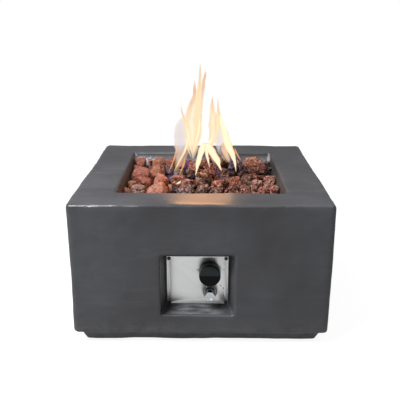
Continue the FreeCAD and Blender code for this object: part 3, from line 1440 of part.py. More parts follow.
def cut_faces(faces, normal, offset):
    """Keep the part of a convex block behind a plane, and close it with a new face."""
    kept = []
    rim = []
    for face in faces:
        inside = []
        for index, point in enumerate(face):
            following = face[(index + 1) % len(face)]
            here = normal.dot(point) - offset
            there = normal.dot(following) - offset
            if here <= 0:
                inside.append(point)
            if here * there < 0:
                crossing = point + (following - point) * (here / (here - there))
                inside.append(crossing)
                rim.append(crossing)
        if len(inside) > 2:
            kept.append(inside)
    corners = []
    for point in rim:
        if all(point.distanceToPoint(other) > 1e-5 for other in corners):
            corners.append(point)
    if len(corners) > 2:
        middle = sum(corners, FreeCAD.Vector()) * (1 / len(corners))
        across = (corners[0] - middle).normalize()
        up = normal.cross(across)
        corners.sort(key=lambda point: math.atan2(up.dot(point - middle),
                                                  across.dot(point - middle)))
        kept.append(corners)
    return kept


def block_faces(centre, half):
    """The six faces of a cube, the start of every rock."""
    faces = []
    ways = [FreeCAD.Vector(1, 0, 0), FreeCAD.Vector(0, 1, 0), FreeCAD.Vector(0, 0, 1)]
    for index, way in enumerate(ways):
        across, up = ways[(index + 1) % 3], ways[(index + 2) % 3]
        for side in (-1, 1):
            face = [centre + (way * side + across * right * side + up * high) * half
                    for right, high in ((-1, -1), (1, -1), (1, 1), (-1, 1))]
            faces.append(face)
    return faces


def faces_solid(faces):
    sides = []
    for face in faces:
        corners = [point for index, point in enumerate(face)
                   if point.distanceToPoint(face[index - 1]) > 1e-5]
        if len(corners) > 2:
            sides.append(Part.Face(Part.makePolygon(corners + [corners[0]])))
    shell = Part.Compound(sides)
    shell.sewShape(1e-5)
    solid = Part.Solid(shell.Shells[0])
    if solid.Volume < 0:
        solid.reverse()
    return solid


class Rock:
    """One rock's middle and half-width, with the planes that bound it."""

    def __init__(self, across, back, level, half_width):
        self.middle = FreeCAD.Vector(across, back, level)
        self.half_width = half_width
        self.planes = []

    def bound(self, normal, point):
        normal = FreeCAD.Vector(*normal).normalize()
        self.planes.append((normal, normal.dot(FreeCAD.Vector(*point))))

    def keep_apart(self, others, gap):
        for other in others:
            if other is self:
                continue
            way = other.middle - self.middle
            apart = way.Length
            share = (apart ** 2 + self.half_width ** 2 - other.half_width ** 2) / (2 * apart)
            normal = way.normalize()
            self.planes.append((normal, normal.dot(self.middle) + share - gap / 2))

    def break_corners(self, chance, count, low, high):
        for _ in range(count):
            turn_angle = chance.uniform(0, 2 * math.pi)
            rise = chance.uniform(low, high)
            flat = math.sqrt(1 - rise ** 2)
            normal = FreeCAD.Vector(flat * math.cos(turn_angle), flat * math.sin(turn_angle),
                                    rise)
            reach = self.half_width * chance.uniform(*FACET_REACH)
            self.planes.append((normal, normal.dot(self.middle) + reach))

    def solid(self):
        faces = block_faces(self.middle, self.half_width * 4)
        for normal, offset in self.planes:
            faces = cut_faces(faces, normal, offset)
            if len(faces) < 4:
                return None
        return faces_solid(faces)


def bound_by_walls(rock, half, level, lean, drop, corner_round, gap):
    """Four walls, leaning outward by lean over drop, and the rounding of their corners."""
    for side in (-1, 1):
        rock.bound((side, 0, -lean / drop), (side * (half - gap), 0, level))
        rock.bound((0, side, -lean / drop), (0, side * (half - gap), level))
    reach = half - gap - corner_round * (1 - math.sqrt(0.5))
    for right in (-1, 1):
        for back in (-1, 1):
            rock.bound((right, back, 0), (right * reach, back * reach, level))


def rock_feature(name, rocks):
    solids = [rock.solid() for rock in rocks]
    feature = doc.addObject("Part::Feature", name)
    feature.Label = name
    feature.Shape = Part.Compound([solid for solid in solids if solid])
    feature.Placement = FreeCAD.Placement()


def layer_level():
    """Where the upper rocks rest: just over the heads of the tray's screws."""
    return (LEDGE + S.tray_sheet + S.tray_head_height + S.rock_gap).number


def make_upper_rocks():
    chance = random.Random(11)
    half = (S.bowl_side / 2).number
    rim = RIM.number
    foot = layer_level()
    gap = S.rock_gap.number
    rocks = []
    for right, back, depth, width in TOP_ROCKS:
        top = rim - depth
        half_width = width / 2
        rock = Rock(half * right / 100, half * back / 100, top - half_width, half_width)
        rock.bound((0, 0, -1), (0, 0, foot))
        tilt = (chance.uniform(-ROCK_TILT, ROCK_TILT), chance.uniform(-ROCK_TILT, ROCK_TILT), 1)
        rock.bound(tilt, (rock.middle.x, rock.middle.y, top - S.rock_top_chip.number))
        rock.bound((0, 0, 1), (0, 0, top))
        bound_by_walls(rock, LEDGE_HALF.number, LEDGE.number, S.bowl_lean.number,
                       S.bowl_drop.number, S.bowl_corner_round.number,
                       S.rock_wall_gap.number)
        rocks.append(rock)
    for rock in rocks:
        rock.keep_apart(rocks, gap)
        rock.break_corners(chance, count=9, low=-0.15, high=0.85)
    rock_feature("lava_rocks_upper", rocks)


def make_lower_rocks():
    """Rocks that stand on the tray's floor, or lie on the burner inside its ring."""
    chance = random.Random(5)
    half = (PAN_HALF - S.tray_sheet).number
    top = layer_level() - S.rock_gap.number
    gap = S.rock_gap.number
    ring_edge = ((S.ring_diameter + S.burner_tube) / 2).number + gap
    burner_top = (PAN_FLOOR + S.burner_height + S.burner_tube / 2 + S.hub_proud).number + gap
    floor = PAN_FLOOR.number + gap
    nut_top = floor + S.shield_nut_thickness.number
    nut_at = SHIELD_POST_AT.number
    pilot_top = (PAN_FLOOR + S.pilot_plate_sheet + S.pilot_rise + S.pilot_tip).number + gap
    pilot_edge = (S.pilot_plate_width / 2).number + gap
    half_width = (S.low_rock_width / 2).number
    scatter = S.low_rock_scatter.number
    rocks = []
    for back in LOW_ROCK_ROWS:
        for right in LOW_ROCK_ROWS:
            across, along = half * right / 100, half * back / 100
            rock = Rock(across + chance.uniform(-scatter, scatter),
                        along + chance.uniform(-scatter, scatter),
                        top - half_width, half_width)
            distance = math.hypot(rock.middle.x, rock.middle.y)
            level = floor
            nut_distance = math.hypot(abs(rock.middle.x) - nut_at, abs(rock.middle.y) - nut_at)
            if nut_distance < half_width + S.shield_nut_flats.number:
                level = nut_top
            if distance < ring_edge:
                level = burner_top
            if back == LOW_ROCK_ROWS[0] and abs(rock.middle.x) < pilot_edge:
                level = pilot_top
            elif distance >= ring_edge:
                outward = (rock.middle.x / distance, rock.middle.y / distance)
                rock.bound((-outward[0], -outward[1], 0),
                           (outward[0] * ring_edge, outward[1] * ring_edge, 0))
            if back == LOW_ROCK_ROWS[0] and abs(rock.middle.x) > pilot_edge:
                side = math.copysign(1, rock.middle.x)
                rock.bound((-side, 0, 0), (side * pilot_edge, 0, 0))
            rock.bound((0, 0, -1), (0, 0, level))
            rock.bound((0, 0, 1), (0, 0, top))
            bound_by_walls(rock, half, floor, 0, 1, S.pan_corner_round.number,
                           S.rock_wall_gap.number)
            rocks.append(rock)
    for rock in rocks:
        rock.keep_apart(rocks, gap)
        rock.break_corners(chance, count=7, low=0.1, high=0.8)
    rock_feature("lava_rocks_lower", rocks)


# ---- build, check and write -----------------------------------------------------

def check_model():
    for item in doc.Objects:
        if "Invalid" in item.State or "Error" in item.State:
            raise RuntimeError(f"{item.Label} failed: {item.State}")


def sub_parts():
    return [item for item in doc.Objects
            if item.isDerivedFrom("PartDesign::Body") or item.TypeId == "Part::Feature"]


def check_shapes():
    for item in sub_parts():
        if item.Shape.isNull() or not item.Shape.isValid() or not item.Shape.Solids:
            raise RuntimeError(f"{item.Label} has no valid solid")


def write_parts():
    os.makedirs("parts", exist_ok=True)
    for item in sub_parts():
        item.Shape.exportStep(f"parts/{item.Label}.step")
        print(f"{item.Label}: {len(item.Shape.Solids)} solid(s), {item.Shape.Volume:.0f} mm3")


for make in (
        make_casing, make_base_plate, make_rubber_feet, make_foot_screws, make_base_screws,
        make_burner_tray, make_tray_screws, make_heat_shield, make_shield_spacers,
        make_shield_bolts, make_shield_nuts, make_burner, make_hub_nut, make_mixer, make_elbow,
        make_jet, make_pilot_bracket, make_pilot_screws, make_flame_sensor, make_electrode,
        make_panel, make_panel_screws, make_panel_inserts, make_valve_body,
        make_valve_screws, make_safety_magnet, make_sensor_nut, make_push_rod, make_stem,
        make_valve_spring, make_knob, make_bezel, make_button, make_igniter_body,
        make_igniter_nut, make_igniter_spring, make_inlet_fitting, make_inlet_nut,
        make_pipe_nuts, make_pipes, make_leads, make_upper_rocks, make_lower_rocks):
    make()
doc.recompute()
check_model()
check_shapes()
write_parts()
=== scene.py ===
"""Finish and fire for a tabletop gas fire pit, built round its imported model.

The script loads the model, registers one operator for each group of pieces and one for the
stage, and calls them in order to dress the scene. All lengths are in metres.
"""

import math

import bmesh
import bpy
import numpy
from bpy.props import FloatProperty, FloatVectorProperty, IntProperty, PointerProperty
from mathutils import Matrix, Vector, noise
from mathutils.bvhtree import BVHTree


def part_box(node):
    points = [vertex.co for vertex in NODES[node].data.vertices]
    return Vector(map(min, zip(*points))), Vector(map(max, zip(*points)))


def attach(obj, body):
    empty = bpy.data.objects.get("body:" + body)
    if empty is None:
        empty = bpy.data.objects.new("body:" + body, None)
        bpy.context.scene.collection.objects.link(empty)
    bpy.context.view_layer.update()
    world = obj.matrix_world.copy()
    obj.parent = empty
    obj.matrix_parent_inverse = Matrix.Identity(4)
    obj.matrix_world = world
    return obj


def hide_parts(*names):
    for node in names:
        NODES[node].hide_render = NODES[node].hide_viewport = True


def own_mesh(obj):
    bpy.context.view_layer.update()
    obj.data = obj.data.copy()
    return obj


bl_info = {
    "name": "Gas Fire Pit Finish",
    "version": (1, 0, 0),
    "blender": (4, 5, 0),
    "location": "View3D > Sidebar > Fire Pit",
    "description": "Cast skin, lava rock, controls and fire for a tabletop gas fire pit",
    "category": "Object",
}

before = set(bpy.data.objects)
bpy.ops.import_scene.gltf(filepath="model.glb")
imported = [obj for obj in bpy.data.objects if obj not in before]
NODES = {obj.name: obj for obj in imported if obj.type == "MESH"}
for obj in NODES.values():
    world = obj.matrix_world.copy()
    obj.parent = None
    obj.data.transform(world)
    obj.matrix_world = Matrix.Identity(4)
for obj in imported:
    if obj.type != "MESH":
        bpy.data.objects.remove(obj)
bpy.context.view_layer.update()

WELD = 1e-6

CASING_LOW, CASING_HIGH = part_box("casing")
HALF_SIDE = CASING_HIGH.x
RIM = CASING_HIGH.z
KNOB_LOW, KNOB_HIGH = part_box("control_knob")
KNOB_X = (KNOB_LOW.x + KNOB_HIGH.x) / 2
KNOB_Z = (KNOB_LOW.z + KNOB_HIGH.z) / 2
BUTTON_LOW, BUTTON_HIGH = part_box("igniter_button")
BUTTON_X = (BUTTON_LOW.x + BUTTON_HIGH.x) / 2
BUTTON_Z = (BUTTON_LOW.z + BUTTON_HIGH.z) / 2
PANEL_LOW, PANEL_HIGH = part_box("control_panel")
INLET_LOW, INLET_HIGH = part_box("inlet_fitting")
INLET_X = (INLET_LOW.x + INLET_HIGH.x) / 2
INLET_Z = (INLET_LOW.z + INLET_HIGH.z) / 2
STEM_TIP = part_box("valve_stem")[0].y

# How far the button's skirt reaches behind the panel.
BUTTON_TAIL = 0.012

# The bowl and the plinth, as the casing has them.
BOWL_HALF = 0.135
PLINTH_TOP = 0.020
PLINTH_INSET_TOP = 0.009
PLINTH_INSET_FOOT = 0.017

# The control bay in the casing's front: its middle, its half width and its top and foot.
BAY_X = (PANEL_LOW.x + PANEL_HIGH.x) / 2
BAY_HALF = 0.064
BAY_TOP = PANEL_HIGH.z + 0.010
BAY_FOOT = PANEL_LOW.z - 0.020

# The camera: where it stands, how far it looks down and how it frames 400 by 400 places.
EYE = Vector((0.0086, -1.0362, 0.5112))
LOOKS_DOWN = math.radians(17.92)
HEADING = math.radians(0.656)
FRAME_SIDE = 400
FRAME_FOCUS = 603.84
SENSOR = 36.0


def tone(red, green, blue):
    """The linear colour of a screen colour whose parts go from 0 to 255."""
    linear = []
    for part in (red, green, blue):
        share = part / 255
        linear.append(share / 12.92 if share <= 0.04045 else ((share + 0.055) / 1.055) ** 2.4)
    return (*linear, 1.0)


# ---- what a user would change ----

class FirePitSizes(bpy.types.PropertyGroup):
    """Sizes of the cast skin, the rocks and the small details."""

    skin_mesh: FloatProperty(
        name="Skin Mesh", description="Size of the faces of the cast skin",
        default=0.0028, min=0.002, max=0.01, unit="LENGTH")
    wave_length: FloatProperty(
        name="Wave Length", description="Distance between the soft waves of the cast skin",
        default=0.075, min=0.01, unit="LENGTH")
    wave_height: FloatProperty(
        name="Wave Height", description="Height of the soft waves of the cast skin",
        default=0.0016, min=0.0, max=0.004, unit="LENGTH")
    ripple_height: FloatProperty(
        name="Ripple Height", description="Height of the finer trowel ripples",
        default=0.0004, min=0.0, max=0.002, unit="LENGTH")
    rock_faces: IntProperty(
        name="Rock Faces", description="How often each rock's mesh is divided",
        default=5, min=3, max=6)
    rock_lobe: FloatProperty(
        name="Rock Lobe Height", description="Depth of the hollows between a rock's lobes",
        default=0.0040, min=0.0, unit="LENGTH")
    rock_pit: FloatProperty(
        name="Rock Pit Depth", description="Depth of the gas bubbles in the rock",
        default=0.0034, min=0.0, unit="LENGTH")
    plate_edge: FloatProperty(
        name="Plate Edge", description="Width of the panel plate's eased edge",
        default=0.00045, min=0.0, unit="LENGTH")
    thread_pitch: FloatProperty(
        name="Thread Pitch", description="Distance between the turns of the gas inlet's thread",
        default=0.00134, min=0.0005, unit="LENGTH")


class FirePitColours(bpy.types.PropertyGroup):
    """Colours of the finishes."""

    cast_grey: FloatVectorProperty(
        name="Cast Grey", description="Main colour of the cast casing",
        subtype="COLOR", size=4, min=0.0, max=1.0, default=tone(52, 52, 55))
    cast_pale: FloatVectorProperty(
        name="Cast Pale", description="Colour of the paler patches of the casting",
        subtype="COLOR", size=4, min=0.0, max=1.0, default=tone(66, 67, 71))
    panel_steel: FloatVectorProperty(
        name="Panel Steel", description="Colour of the brushed control panel",
        subtype="COLOR", size=4, min=0.0, max=1.0, default=tone(232, 233, 232))
    knob_black: FloatVectorProperty(
        name="Knob Black", description="Colour of the control knob",
        subtype="COLOR", size=4, min=0.0, max=1.0, default=tone(9, 9, 10))


class FirePitFire(bpy.types.PropertyGroup):
    """The fire that the stage shows."""

    glow: FloatProperty(
        name="Glow", description="Power of the fire's light on the rocks and the rim",
        default=0.56, min=0.0, unit="POWER")
    spread: FloatProperty(
        name="Spread", description="How far the flames stand one behind another",
        default=0.05, min=0.0, unit="LENGTH")


# ---- places in the camera's frame ----

def frame_ray(across, down):
    """The direction from the camera's eye through a place of its frame."""
    right = (across - FRAME_SIDE / 2) / FRAME_FOCUS
    below = (down - FRAME_SIDE / 2) / FRAME_FOCUS
    ahead = math.cos(LOOKS_DOWN) - below * math.sin(LOOKS_DOWN)
    rise = -math.sin(LOOKS_DOWN) - below * math.cos(LOOKS_DOWN)
    return Vector((right * math.cos(HEADING) - ahead * math.sin(HEADING),
                   right * math.sin(HEADING) + ahead * math.cos(HEADING), rise))


def frame_point(across, down, depth):
    """The point behind a place of the frame, on the upright plane y = depth."""
    ray = frame_ray(across, down)
    return EYE + ray * ((depth - EYE.y) / ray.y)


def frame_place(point):
    """Where a point falls in the frame."""
    way = Vector(point) - EYE
    right = way.x * math.cos(HEADING) + way.y * math.sin(HEADING)
    level = way.y * math.cos(HEADING) - way.x * math.sin(HEADING)
    ahead = level * math.cos(LOOKS_DOWN) - way.z * math.sin(LOOKS_DOWN)
    below = -level * math.sin(LOOKS_DOWN) - way.z * math.cos(LOOKS_DOWN)
    middle = FRAME_SIDE / 2
    return Vector((middle + FRAME_FOCUS * right / ahead, middle + FRAME_FOCUS * below / ahead))


# ---- finishes ----

class Field:
    """A value that varies over a surface, with the sums that finishes are made from."""

    def __init__(self, finish, socket):
        self.finish = finish
        self.socket = socket

    def math(self, operation, other=0.0):
        return self.finish.node("ShaderNodeMath", "Value", {0: self, 1: other},
                                operation=operation)

    def __add__(self, other):
        return self.math("ADD", other)

    def __sub__(self, other):
        return self.math("SUBTRACT", other)

    def __mul__(self, other):
        return self.math("MULTIPLY", other)

    def __abs__(self):
        return self.math("ABSOLUTE")

    def most(self, other):
        return self.math("MAXIMUM", other)

    def ramp(self, low, high, to_low=0.0, to_high=1.0):
        inputs = {"Value": self, "From Min": low, "From Max": high,
                  "To Min": to_low, "To Max": to_high}
        return self.finish.node("ShaderNodeMapRange", "Result", inputs, clamp=True)

    def mix(self, first, second):
        """Two colours, blended by this value from 0 to 1."""
        return self.finish.mix(self, first, second)


class Finish:
    """One material in the making, with short words for the nodes that it is made from."""

    def __init__(self, name):
        self.material = bpy.data.materials.new(name)
        self.material.use_nodes = True
        self.nodes = self.material.node_tree.nodes
        self.links = self.material.node_tree.links
        self.shader = self.nodes["Principled BSDF"]
        self.place = self.node("ShaderNodeTexCoord", "Object")

    def feed(self, socket, value):
        if isinstance(value, Field):
            self.links.new(value.socket, socket)
        else:
            socket.default_value = value

    def node(self, kind, output, inputs=None, **settings):
        """One output of a new node."""
        made = self.nodes.new(kind)
        for name, value in settings.items():
            setattr(made, name, value)
        for key, value in (inputs or {}).items():
            self.feed(made.inputs[key], value)
        return Field(self, made.outputs[output])

    def scaled(self, size, stretch, shift=(0, 0, 0)):
        """The place, counted in steps of that size, each axis stretched by its share."""
        scale = [1 / (size * part) for part in stretch]
        return self.node("ShaderNodeMapping", "Vector",
                         {"Vector": self.place, "Scale": scale, "Location": shift})

    def clouds(self, size, detail=3.0, roughness=0.5, stretch=(1, 1, 1), shift=(0, 0, 0)):
        """Soft noise about 0.5, with blobs of that size."""
        inputs = {"Vector": self.scaled(size, stretch, shift), "Scale": 1.0,
                  "Detail": detail, "Roughness": roughness}
        return self.node("ShaderNodeTexNoise", "Fac", inputs)

    def cells(self, size):
        """Distance to the nearest of many points that lie about that size apart."""
        inputs = {"Vector": self.scaled(size, (1, 1, 1)), "Scale": 1.0}
        return self.node("ShaderNodeTexVoronoi", "Distance", inputs)

    def mix(self, share, first, second, way="MIX"):
        """Two colours, blended by a share from 0 to 1."""
        return self.node("ShaderNodeMix", 2, {0: share, 6: first, 7: second},
                         data_type="RGBA", blend_type=way)

    def layered(self, colour, *layers):
        """A colour under layers, each a share from 0 to 1 and a screen colour."""
        for share, top in layers:
            colour = share.mix(colour, tone(*top))
        return colour

    def near(self, point, inner, outer):
        """1 within the inner distance of a point, falling to 0 at the outer one."""
        away = self.node("ShaderNodeVectorMath", "Value", {0: self.place, 1: point},
                         operation="DISTANCE")
        return away.ramp(inner, outer, 1.0, 0.0)

    def axes(self, vector=None):
        """The three parts of a direction or of the place."""
        first = self.node("ShaderNodeSeparateXYZ", 0, {0: vector or self.place})
        return [Field(self, output) for output in first.socket.node.outputs]

    def bump(self, height, depth, under=None):
        inputs = {"Height": height, "Distance": depth, "Strength": 1.0}
        if under:
            inputs["Normal"] = under
        return self.node("ShaderNodeBump", "Normal", inputs)

    def set(self, **sockets):
        """Feeds the shader: a socket's name is written with _ for each space."""
        for name, value in sockets.items():
            self.feed(self.shader.inputs[name.replace("_", " ")], value)
        return self.material


def cast_cement(colours):
    """Smooth dark cast cement: soft clouds, trowel streaks, pinholes and a faint sheen, with painted
    shade and painted light in the bowl and the bay.
    """
    finish = Finish("cast_cement")
    across, along, up = finish.axes()
    broad = finish.clouds(0.11, 3)
    mottle = finish.clouds(0.016, 5, 0.6)
    streaks = finish.clouds(0.02, 4, 0.6, stretch=(6, 1, 1))
    # Pinholes: small pits, bumped in and painted darker inside as painted shade.
    shaded_pinholes = finish.cells(0.011).ramp(0.035, 0.07, 1, 0)
    # Inside the bowl the walls are painted darker and browner as painted shade, more so deeper down
    # and less on the far wall.
    reach = abs(across).most(abs(along))
    inside = reach.ramp(BOWL_HALF - 0.0022, BOWL_HALF - 0.0006, 1, 0)
    far = along.ramp(BOWL_HALF - 0.012, BOWL_HALF - 0.007)
    bowl_painted_shade = inside * up.ramp(RIM - 0.040, RIM, 1.0, 0.35) * far.ramp(0, 1, 1.0, 0.15)
    # The far wall is painted paler in mottled patches as painted light, has a speckled lime patch on
    # its left, and a painted highlight streak down its right corner.
    far_wall_painted_light = far * inside * finish.clouds(0.012, 4, 0.6).ramp(0.3, 0.7, 0.35, 0.75)
    lime = (finish.near((-0.116, 0.136, RIM - 0.008), 0.012, 0.034)
            * finish.clouds(0.0032, 4, 0.7).ramp(0.47, 0.56) * inside)
    # A painted highlight streak down the far wall's right corner.
    corner_painted_highlight = (finish.near((0.129, 0.134, RIM - 0.016), 0.003, 0.016)
           * finish.clouds(0.006, 3, 0.6, stretch=(0.5, 0.5, 5)).ramp(0.48, 0.56) * inside)
    # The control bay has pale smears on its floor, partly worn dust and partly painted light from the
    # lamp, and the plinth a paler band above it.
    bay = (abs(across - BAY_X).ramp(BAY_HALF, BAY_HALF + 0.002, 1, 0)
           * along.ramp(-HALF_SIDE + 0.003, -HALF_SIDE + 0.006)
           * along.ramp(-BOWL_HALF - 0.014, -BOWL_HALF - 0.010, 1, 0)
           * up.ramp(BAY_TOP, BAY_TOP + 0.01, 1, 0))
    bay_smear_and_light = (finish.near((-0.008, -0.186, 0.053), 0.020, 0.046)
             * finish.clouds(0.010, 3, 0.5, stretch=(3, 1, 1)).ramp(0.36, 0.62) * bay)
    band = up.ramp(PLINTH_TOP, PLINTH_TOP + 0.03, 1, 0) * mottle.ramp(0.35, 0.65)
    colour = finish.layered(
        broad.ramp(0.35, 0.68).mix(colours.cast_grey, colours.cast_pale),
        (mottle.ramp(0.45, 0.8, 0, 0.35), (54, 55, 60)),
        (streaks.ramp(0.55, 0.8, 0, 0.3), (88, 88, 90)),
        (shaded_pinholes * 0.45, (38, 38, 40)),
        (bowl_painted_shade * 0.8, (48, 42, 40)),
        (far_wall_painted_light, (158, 154, 164)),
        (lime * 0.9, (206, 214, 222)),
        (corner_painted_highlight * 0.7, (165, 165, 165)),
        (bay_smear_and_light * 0.6, (150, 152, 154)),
        (band * 0.5, (92, 92, 95)))
    # Hands have polished the eased edge between the rim and the sides.
    edge = up.ramp(RIM - 0.006, RIM - 0.0035) * reach.ramp(HALF_SIDE - 0.007, HALF_SIDE - 0.0035)
    gloss = (broad + streaks * 0.6).ramp(0.6, 1.0, 0.34, 0.5)
    gloss = gloss.most(inside * 0.62).most(bay * 0.54) - edge * 0.20
    skin = finish.bump(finish.clouds(0.030, 3, 0.5, stretch=(2.2, 1, 1)), 0.0016)
    skin = finish.bump(finish.clouds(0.0075, 3, 0.55), 0.00022, skin)
    skin = finish.bump(shaded_pinholes * -1.0, 0.0004, skin)
    return finish.set(Base_Color=colour, Roughness=gloss, Normal=skin)


def lava_rock():
    """Porous lava rock: each rock's own tint, upward faces paler from dust and painted light, bubbles
    painted dark as painted shade, painted highlights on the ridges between them, and fine grit.
    """
    finish = Finish("lava_rock")
    tint = finish.node("ShaderNodeVertexColor", "Color", layer_name="tint")
    patches = finish.clouds(0.011, 5, 0.65)
    grit = finish.clouds(0.0028, 5, 0.78)
    dull = finish.mix(1.0, tint, tone(150, 130, 128), "MULTIPLY")
    pale = finish.mix(0.45, tint, tone(196, 150, 132))
    upward = finish.axes(finish.node("ShaderNodeNewGeometry", "Normal"))[2]
    # Upward faces are paler: partly dust, partly painted light from above.
    dust_and_top_light = upward.ramp(0.2, 0.95) * patches.ramp(0.3, 0.6)
    colour = patches.ramp(0.38, 0.66, 0, 0.55).mix(tint, dull)
    colour = grit.ramp(0.52, 0.74, 0, 0.75).mix(colour, pale)
    colour = (dust_and_top_light * 0.30).mix(colour, pale)
    # The rocks on the left are less blown than the others.
    blown = finish.axes()[0].ramp(-0.075, -0.010, 0.3, 1.0)
    porous = finish.clouds(0.010, 2, shift=(5, 2, 8)).ramp(0.36, 0.52) * blown
    wall = finish.cells(0.0040)
    bubbles = wall.ramp(0.24, 0.42, 1, 0) * porous
    shaded_holes = bubbles.most(finish.cells(0.0022).ramp(0.16, 0.32, 0.9, 0))
    # The ridges between the bubbles are painted paler as painted highlights.
    edges = wall.ramp(0.55, 0.75) * porous
    # The bubbles are painted near black as painted shade inside the holes.
    colour = finish.layered(finish.mix(0.24, colour, tone(64, 44, 42)),
                            (edges * 0.35, (214, 176, 160)), (shaded_holes * 0.86, (34, 22, 20)))
    rough = finish.bump(shaded_holes * -1.0, 0.0011, finish.bump(grit, 0.0020))
    return finish.set(Base_Color=colour, Roughness=0.95, Specular_IOR_Level=0.15, Normal=rough)


def scaled_colour(colour, times, lift=0.0):
    """A linear colour made darker or lighter."""
    return [min(1.0, part * times + lift) for part in colour[:3]] + [1.0]


def metal(name, screen, low, high, grain=0.01, patina=None, depth=0.00002):
    """A metal whose colour and gloss vary along its grain, with a patina in patches."""
    finish = Finish(name)
    lines = finish.clouds(grain, 5, 0.6)
    shade = lines.ramp(0.3, 0.7).mix(tone(*screen), scaled_colour(tone(*screen), 0.82))
    if patina:
        patches = finish.clouds(0.009, 5, 0.65).ramp(0.48, 0.7, 0, 0.6)
        shade = finish.layered(shade, (patches, patina))
    return finish.set(Base_Color=shade, Metallic=1.0, Roughness=lines.ramp(0.3, 0.7, low, high),
                      Normal=finish.bump(lines, depth))


def moulded(name, screen, low, high, grain=0.0012, depth=0.00003, level=0.5):
    """A moulded plastic, rubber or ceramic, with a faint grain."""
    finish = Finish(name)
    clouds = finish.clouds(0.02, 3)
    light = scaled_colour(tone(*screen), 1.35, 0.002)
    return finish.set(Base_Color=clouds.ramp(0.35, 0.7, 0, 0.5).mix(tone(*screen), light),
                      Roughness=clouds.ramp(0.3, 0.7, low, high), Specular_IOR_Level=level,
                      Normal=finish.bump(finish.clouds(grain, 3, 0.6), depth))


def brushed_panel(colours):
    """Satin steel, brushed along its length, with faint smudges."""
    finish = Finish("brushed_panel")
    lines = finish.clouds(0.0009, 3, 0.6, stretch=(60, 1, 1))
    smudge = finish.clouds(0.022, 4, 0.6)
    colour = finish.layered(colours.panel_steel, (lines.ramp(0.35, 0.65, 0, 0.5), (226, 227, 228)),
                            (smudge.ramp(0.5, 0.75, 0, 0.2), (216, 216, 218)))
    return finish.set(Base_Color=colour, Metallic=1.0,
                      Roughness=smudge.ramp(0.3, 0.7, 0.31, 0.33),
                      Normal=finish.bump(lines, 0.0000006))


def button_chrome():
    """Bright chrome, worn to a satin on the front, with its sides painted darker as a painted dark
    reflection.
    """
    finish = Finish("button_chrome")
    lines = finish.clouds(0.004, 4, 0.6)
    front = finish.axes()[1].ramp(BUTTON_LOW.y + 0.0006, BUTTON_LOW.y + 0.0016, 1, 0)
    # The sides are painted darker, as a painted dark reflection.
    side = lines.ramp(0.35, 0.65, 0, 0.4).mix(tone(128, 128, 132), tone(84, 84, 88))
    return finish.set(Base_Color=front.mix(side, tone(214, 219, 221)), Metallic=1.0,
                      Roughness=front.ramp(0, 1, 0.07, 0.24),
                      Normal=finish.bump(lines, 0.000003))


def knob_plastic(colours):
    """Black plastic, polished, with its face above the grip ridge painted slate grey as painted
    reflected light.
    """
    finish = Finish("knob_plastic")
    across, along, up = finish.axes()
    painted_light_face = (along.ramp(KNOB_LOW.y + 0.0030, KNOB_LOW.y + 0.0015)
             * up.ramp(KNOB_Z + 0.0005, KNOB_Z + 0.0035))
    gloss = finish.clouds(0.008, 4).ramp(0.35, 0.65, 0.24, 0.34)
    return finish.set(Base_Color=painted_light_face.mix(colours.knob_black, tone(40, 45, 47)),
                      Roughness=gloss, Specular_IOR_Level=0.1,
                      Normal=finish.bump(finish.clouds(0.0009, 2), 0.00001))


# ---- meshes ----

def mesh_of(shape, name):
    """A mesh made of a bmesh, which is used up."""
    data = bpy.data.meshes.new(name)
    shape.to_mesh(data)
    shape.free()
    return data


def placed(name, data, place=(0, 0, 0)):
    """A new object of the scene, made of a mesh, a light or a camera."""
    made = bpy.data.objects.new(name, data)
    made.location = place
    bpy.context.scene.collection.objects.link(made)
    return made


def add_piece(name, shape, finish, body, replaces=(), round_off=None):
    """Adds a mesh as a piece that rides on a body. A bmesh is used up."""
    if isinstance(shape, bmesh.types.BMesh):
        bmesh.ops.recalc_face_normals(shape, faces=shape.faces)
        shape = mesh_of(shape, name)
    shape.shade_smooth()
    if round_off is not None:
        shape.set_sharp_from_angle(angle=math.radians(round_off))
    shape.materials.clear()
    shape.materials.append(finish)
    piece = placed(name, shape)
    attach(piece, body)
    if replaces:
        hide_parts(*replaces)
    return piece


def welded(node):
    """A node's own mesh, with the points that its faces share joined up."""
    shape = bmesh.new()
    shape.from_mesh(NODES[node].data)
    bmesh.ops.remove_doubles(shape, verts=shape.verts, dist=WELD)
    return shape


def eased(node, width, angle=35):
    """A node's own shape with its sharp edges eased."""
    shape = welded(node)
    bmesh.ops.dissolve_limit(shape, angle_limit=math.radians(0.5), verts=shape.verts,
                             edges=shape.edges)
    sharp = [edge for edge in shape.edges
             if edge.is_manifold and edge.calc_face_angle(0) > math.radians(angle)]
    bmesh.ops.bevel(shape, geom=sharp, offset=width, segments=2, profile=0.5,
                    affect="EDGES", clamp_overlap=True)
    return shape


def rounded(outline, radii, steps):
    """A flat outline with an arc at each inner point that has a radius."""
    points = [Vector(outline[0])]
    for before, corner, after, radius in zip(outline, outline[1:], outline[2:], radii):
        corner = Vector(corner)
        back = (Vector(before) - corner).normalized()
        ahead = (Vector(after) - corner).normalized()
        if not radius:
            points.append(corner)
            continue
        half = back.angle(ahead) / 2
        centre = corner + (back + ahead).normalized() * (radius / math.sin(half))
        first = corner + back * (radius / math.tan(half)) - centre
        last = corner + ahead * (radius / math.tan(half)) - centre
        sweep = first.angle(last)
        for step in range(steps + 1):
            turn = sweep * step / steps
            arc = first * math.sin(sweep - turn) + last * math.sin(turn)
            points.append(centre + arc / math.sin(sweep))
    points.append(Vector(outline[-1]))
    return points


def rings(shape, rows, closed=False):
    """Joins rows of points, each a ring of the same count, with faces."""
    made = [[shape.verts.new(point) for point in row] for row in rows]
    if closed:
        made.append(made[0])
    for row, following in zip(made, made[1:]):
        for index, point in enumerate(row):
            other = (index + 1) % len(row)
            shape.faces.new((point, row[other], following[other], following[index]))
    return made


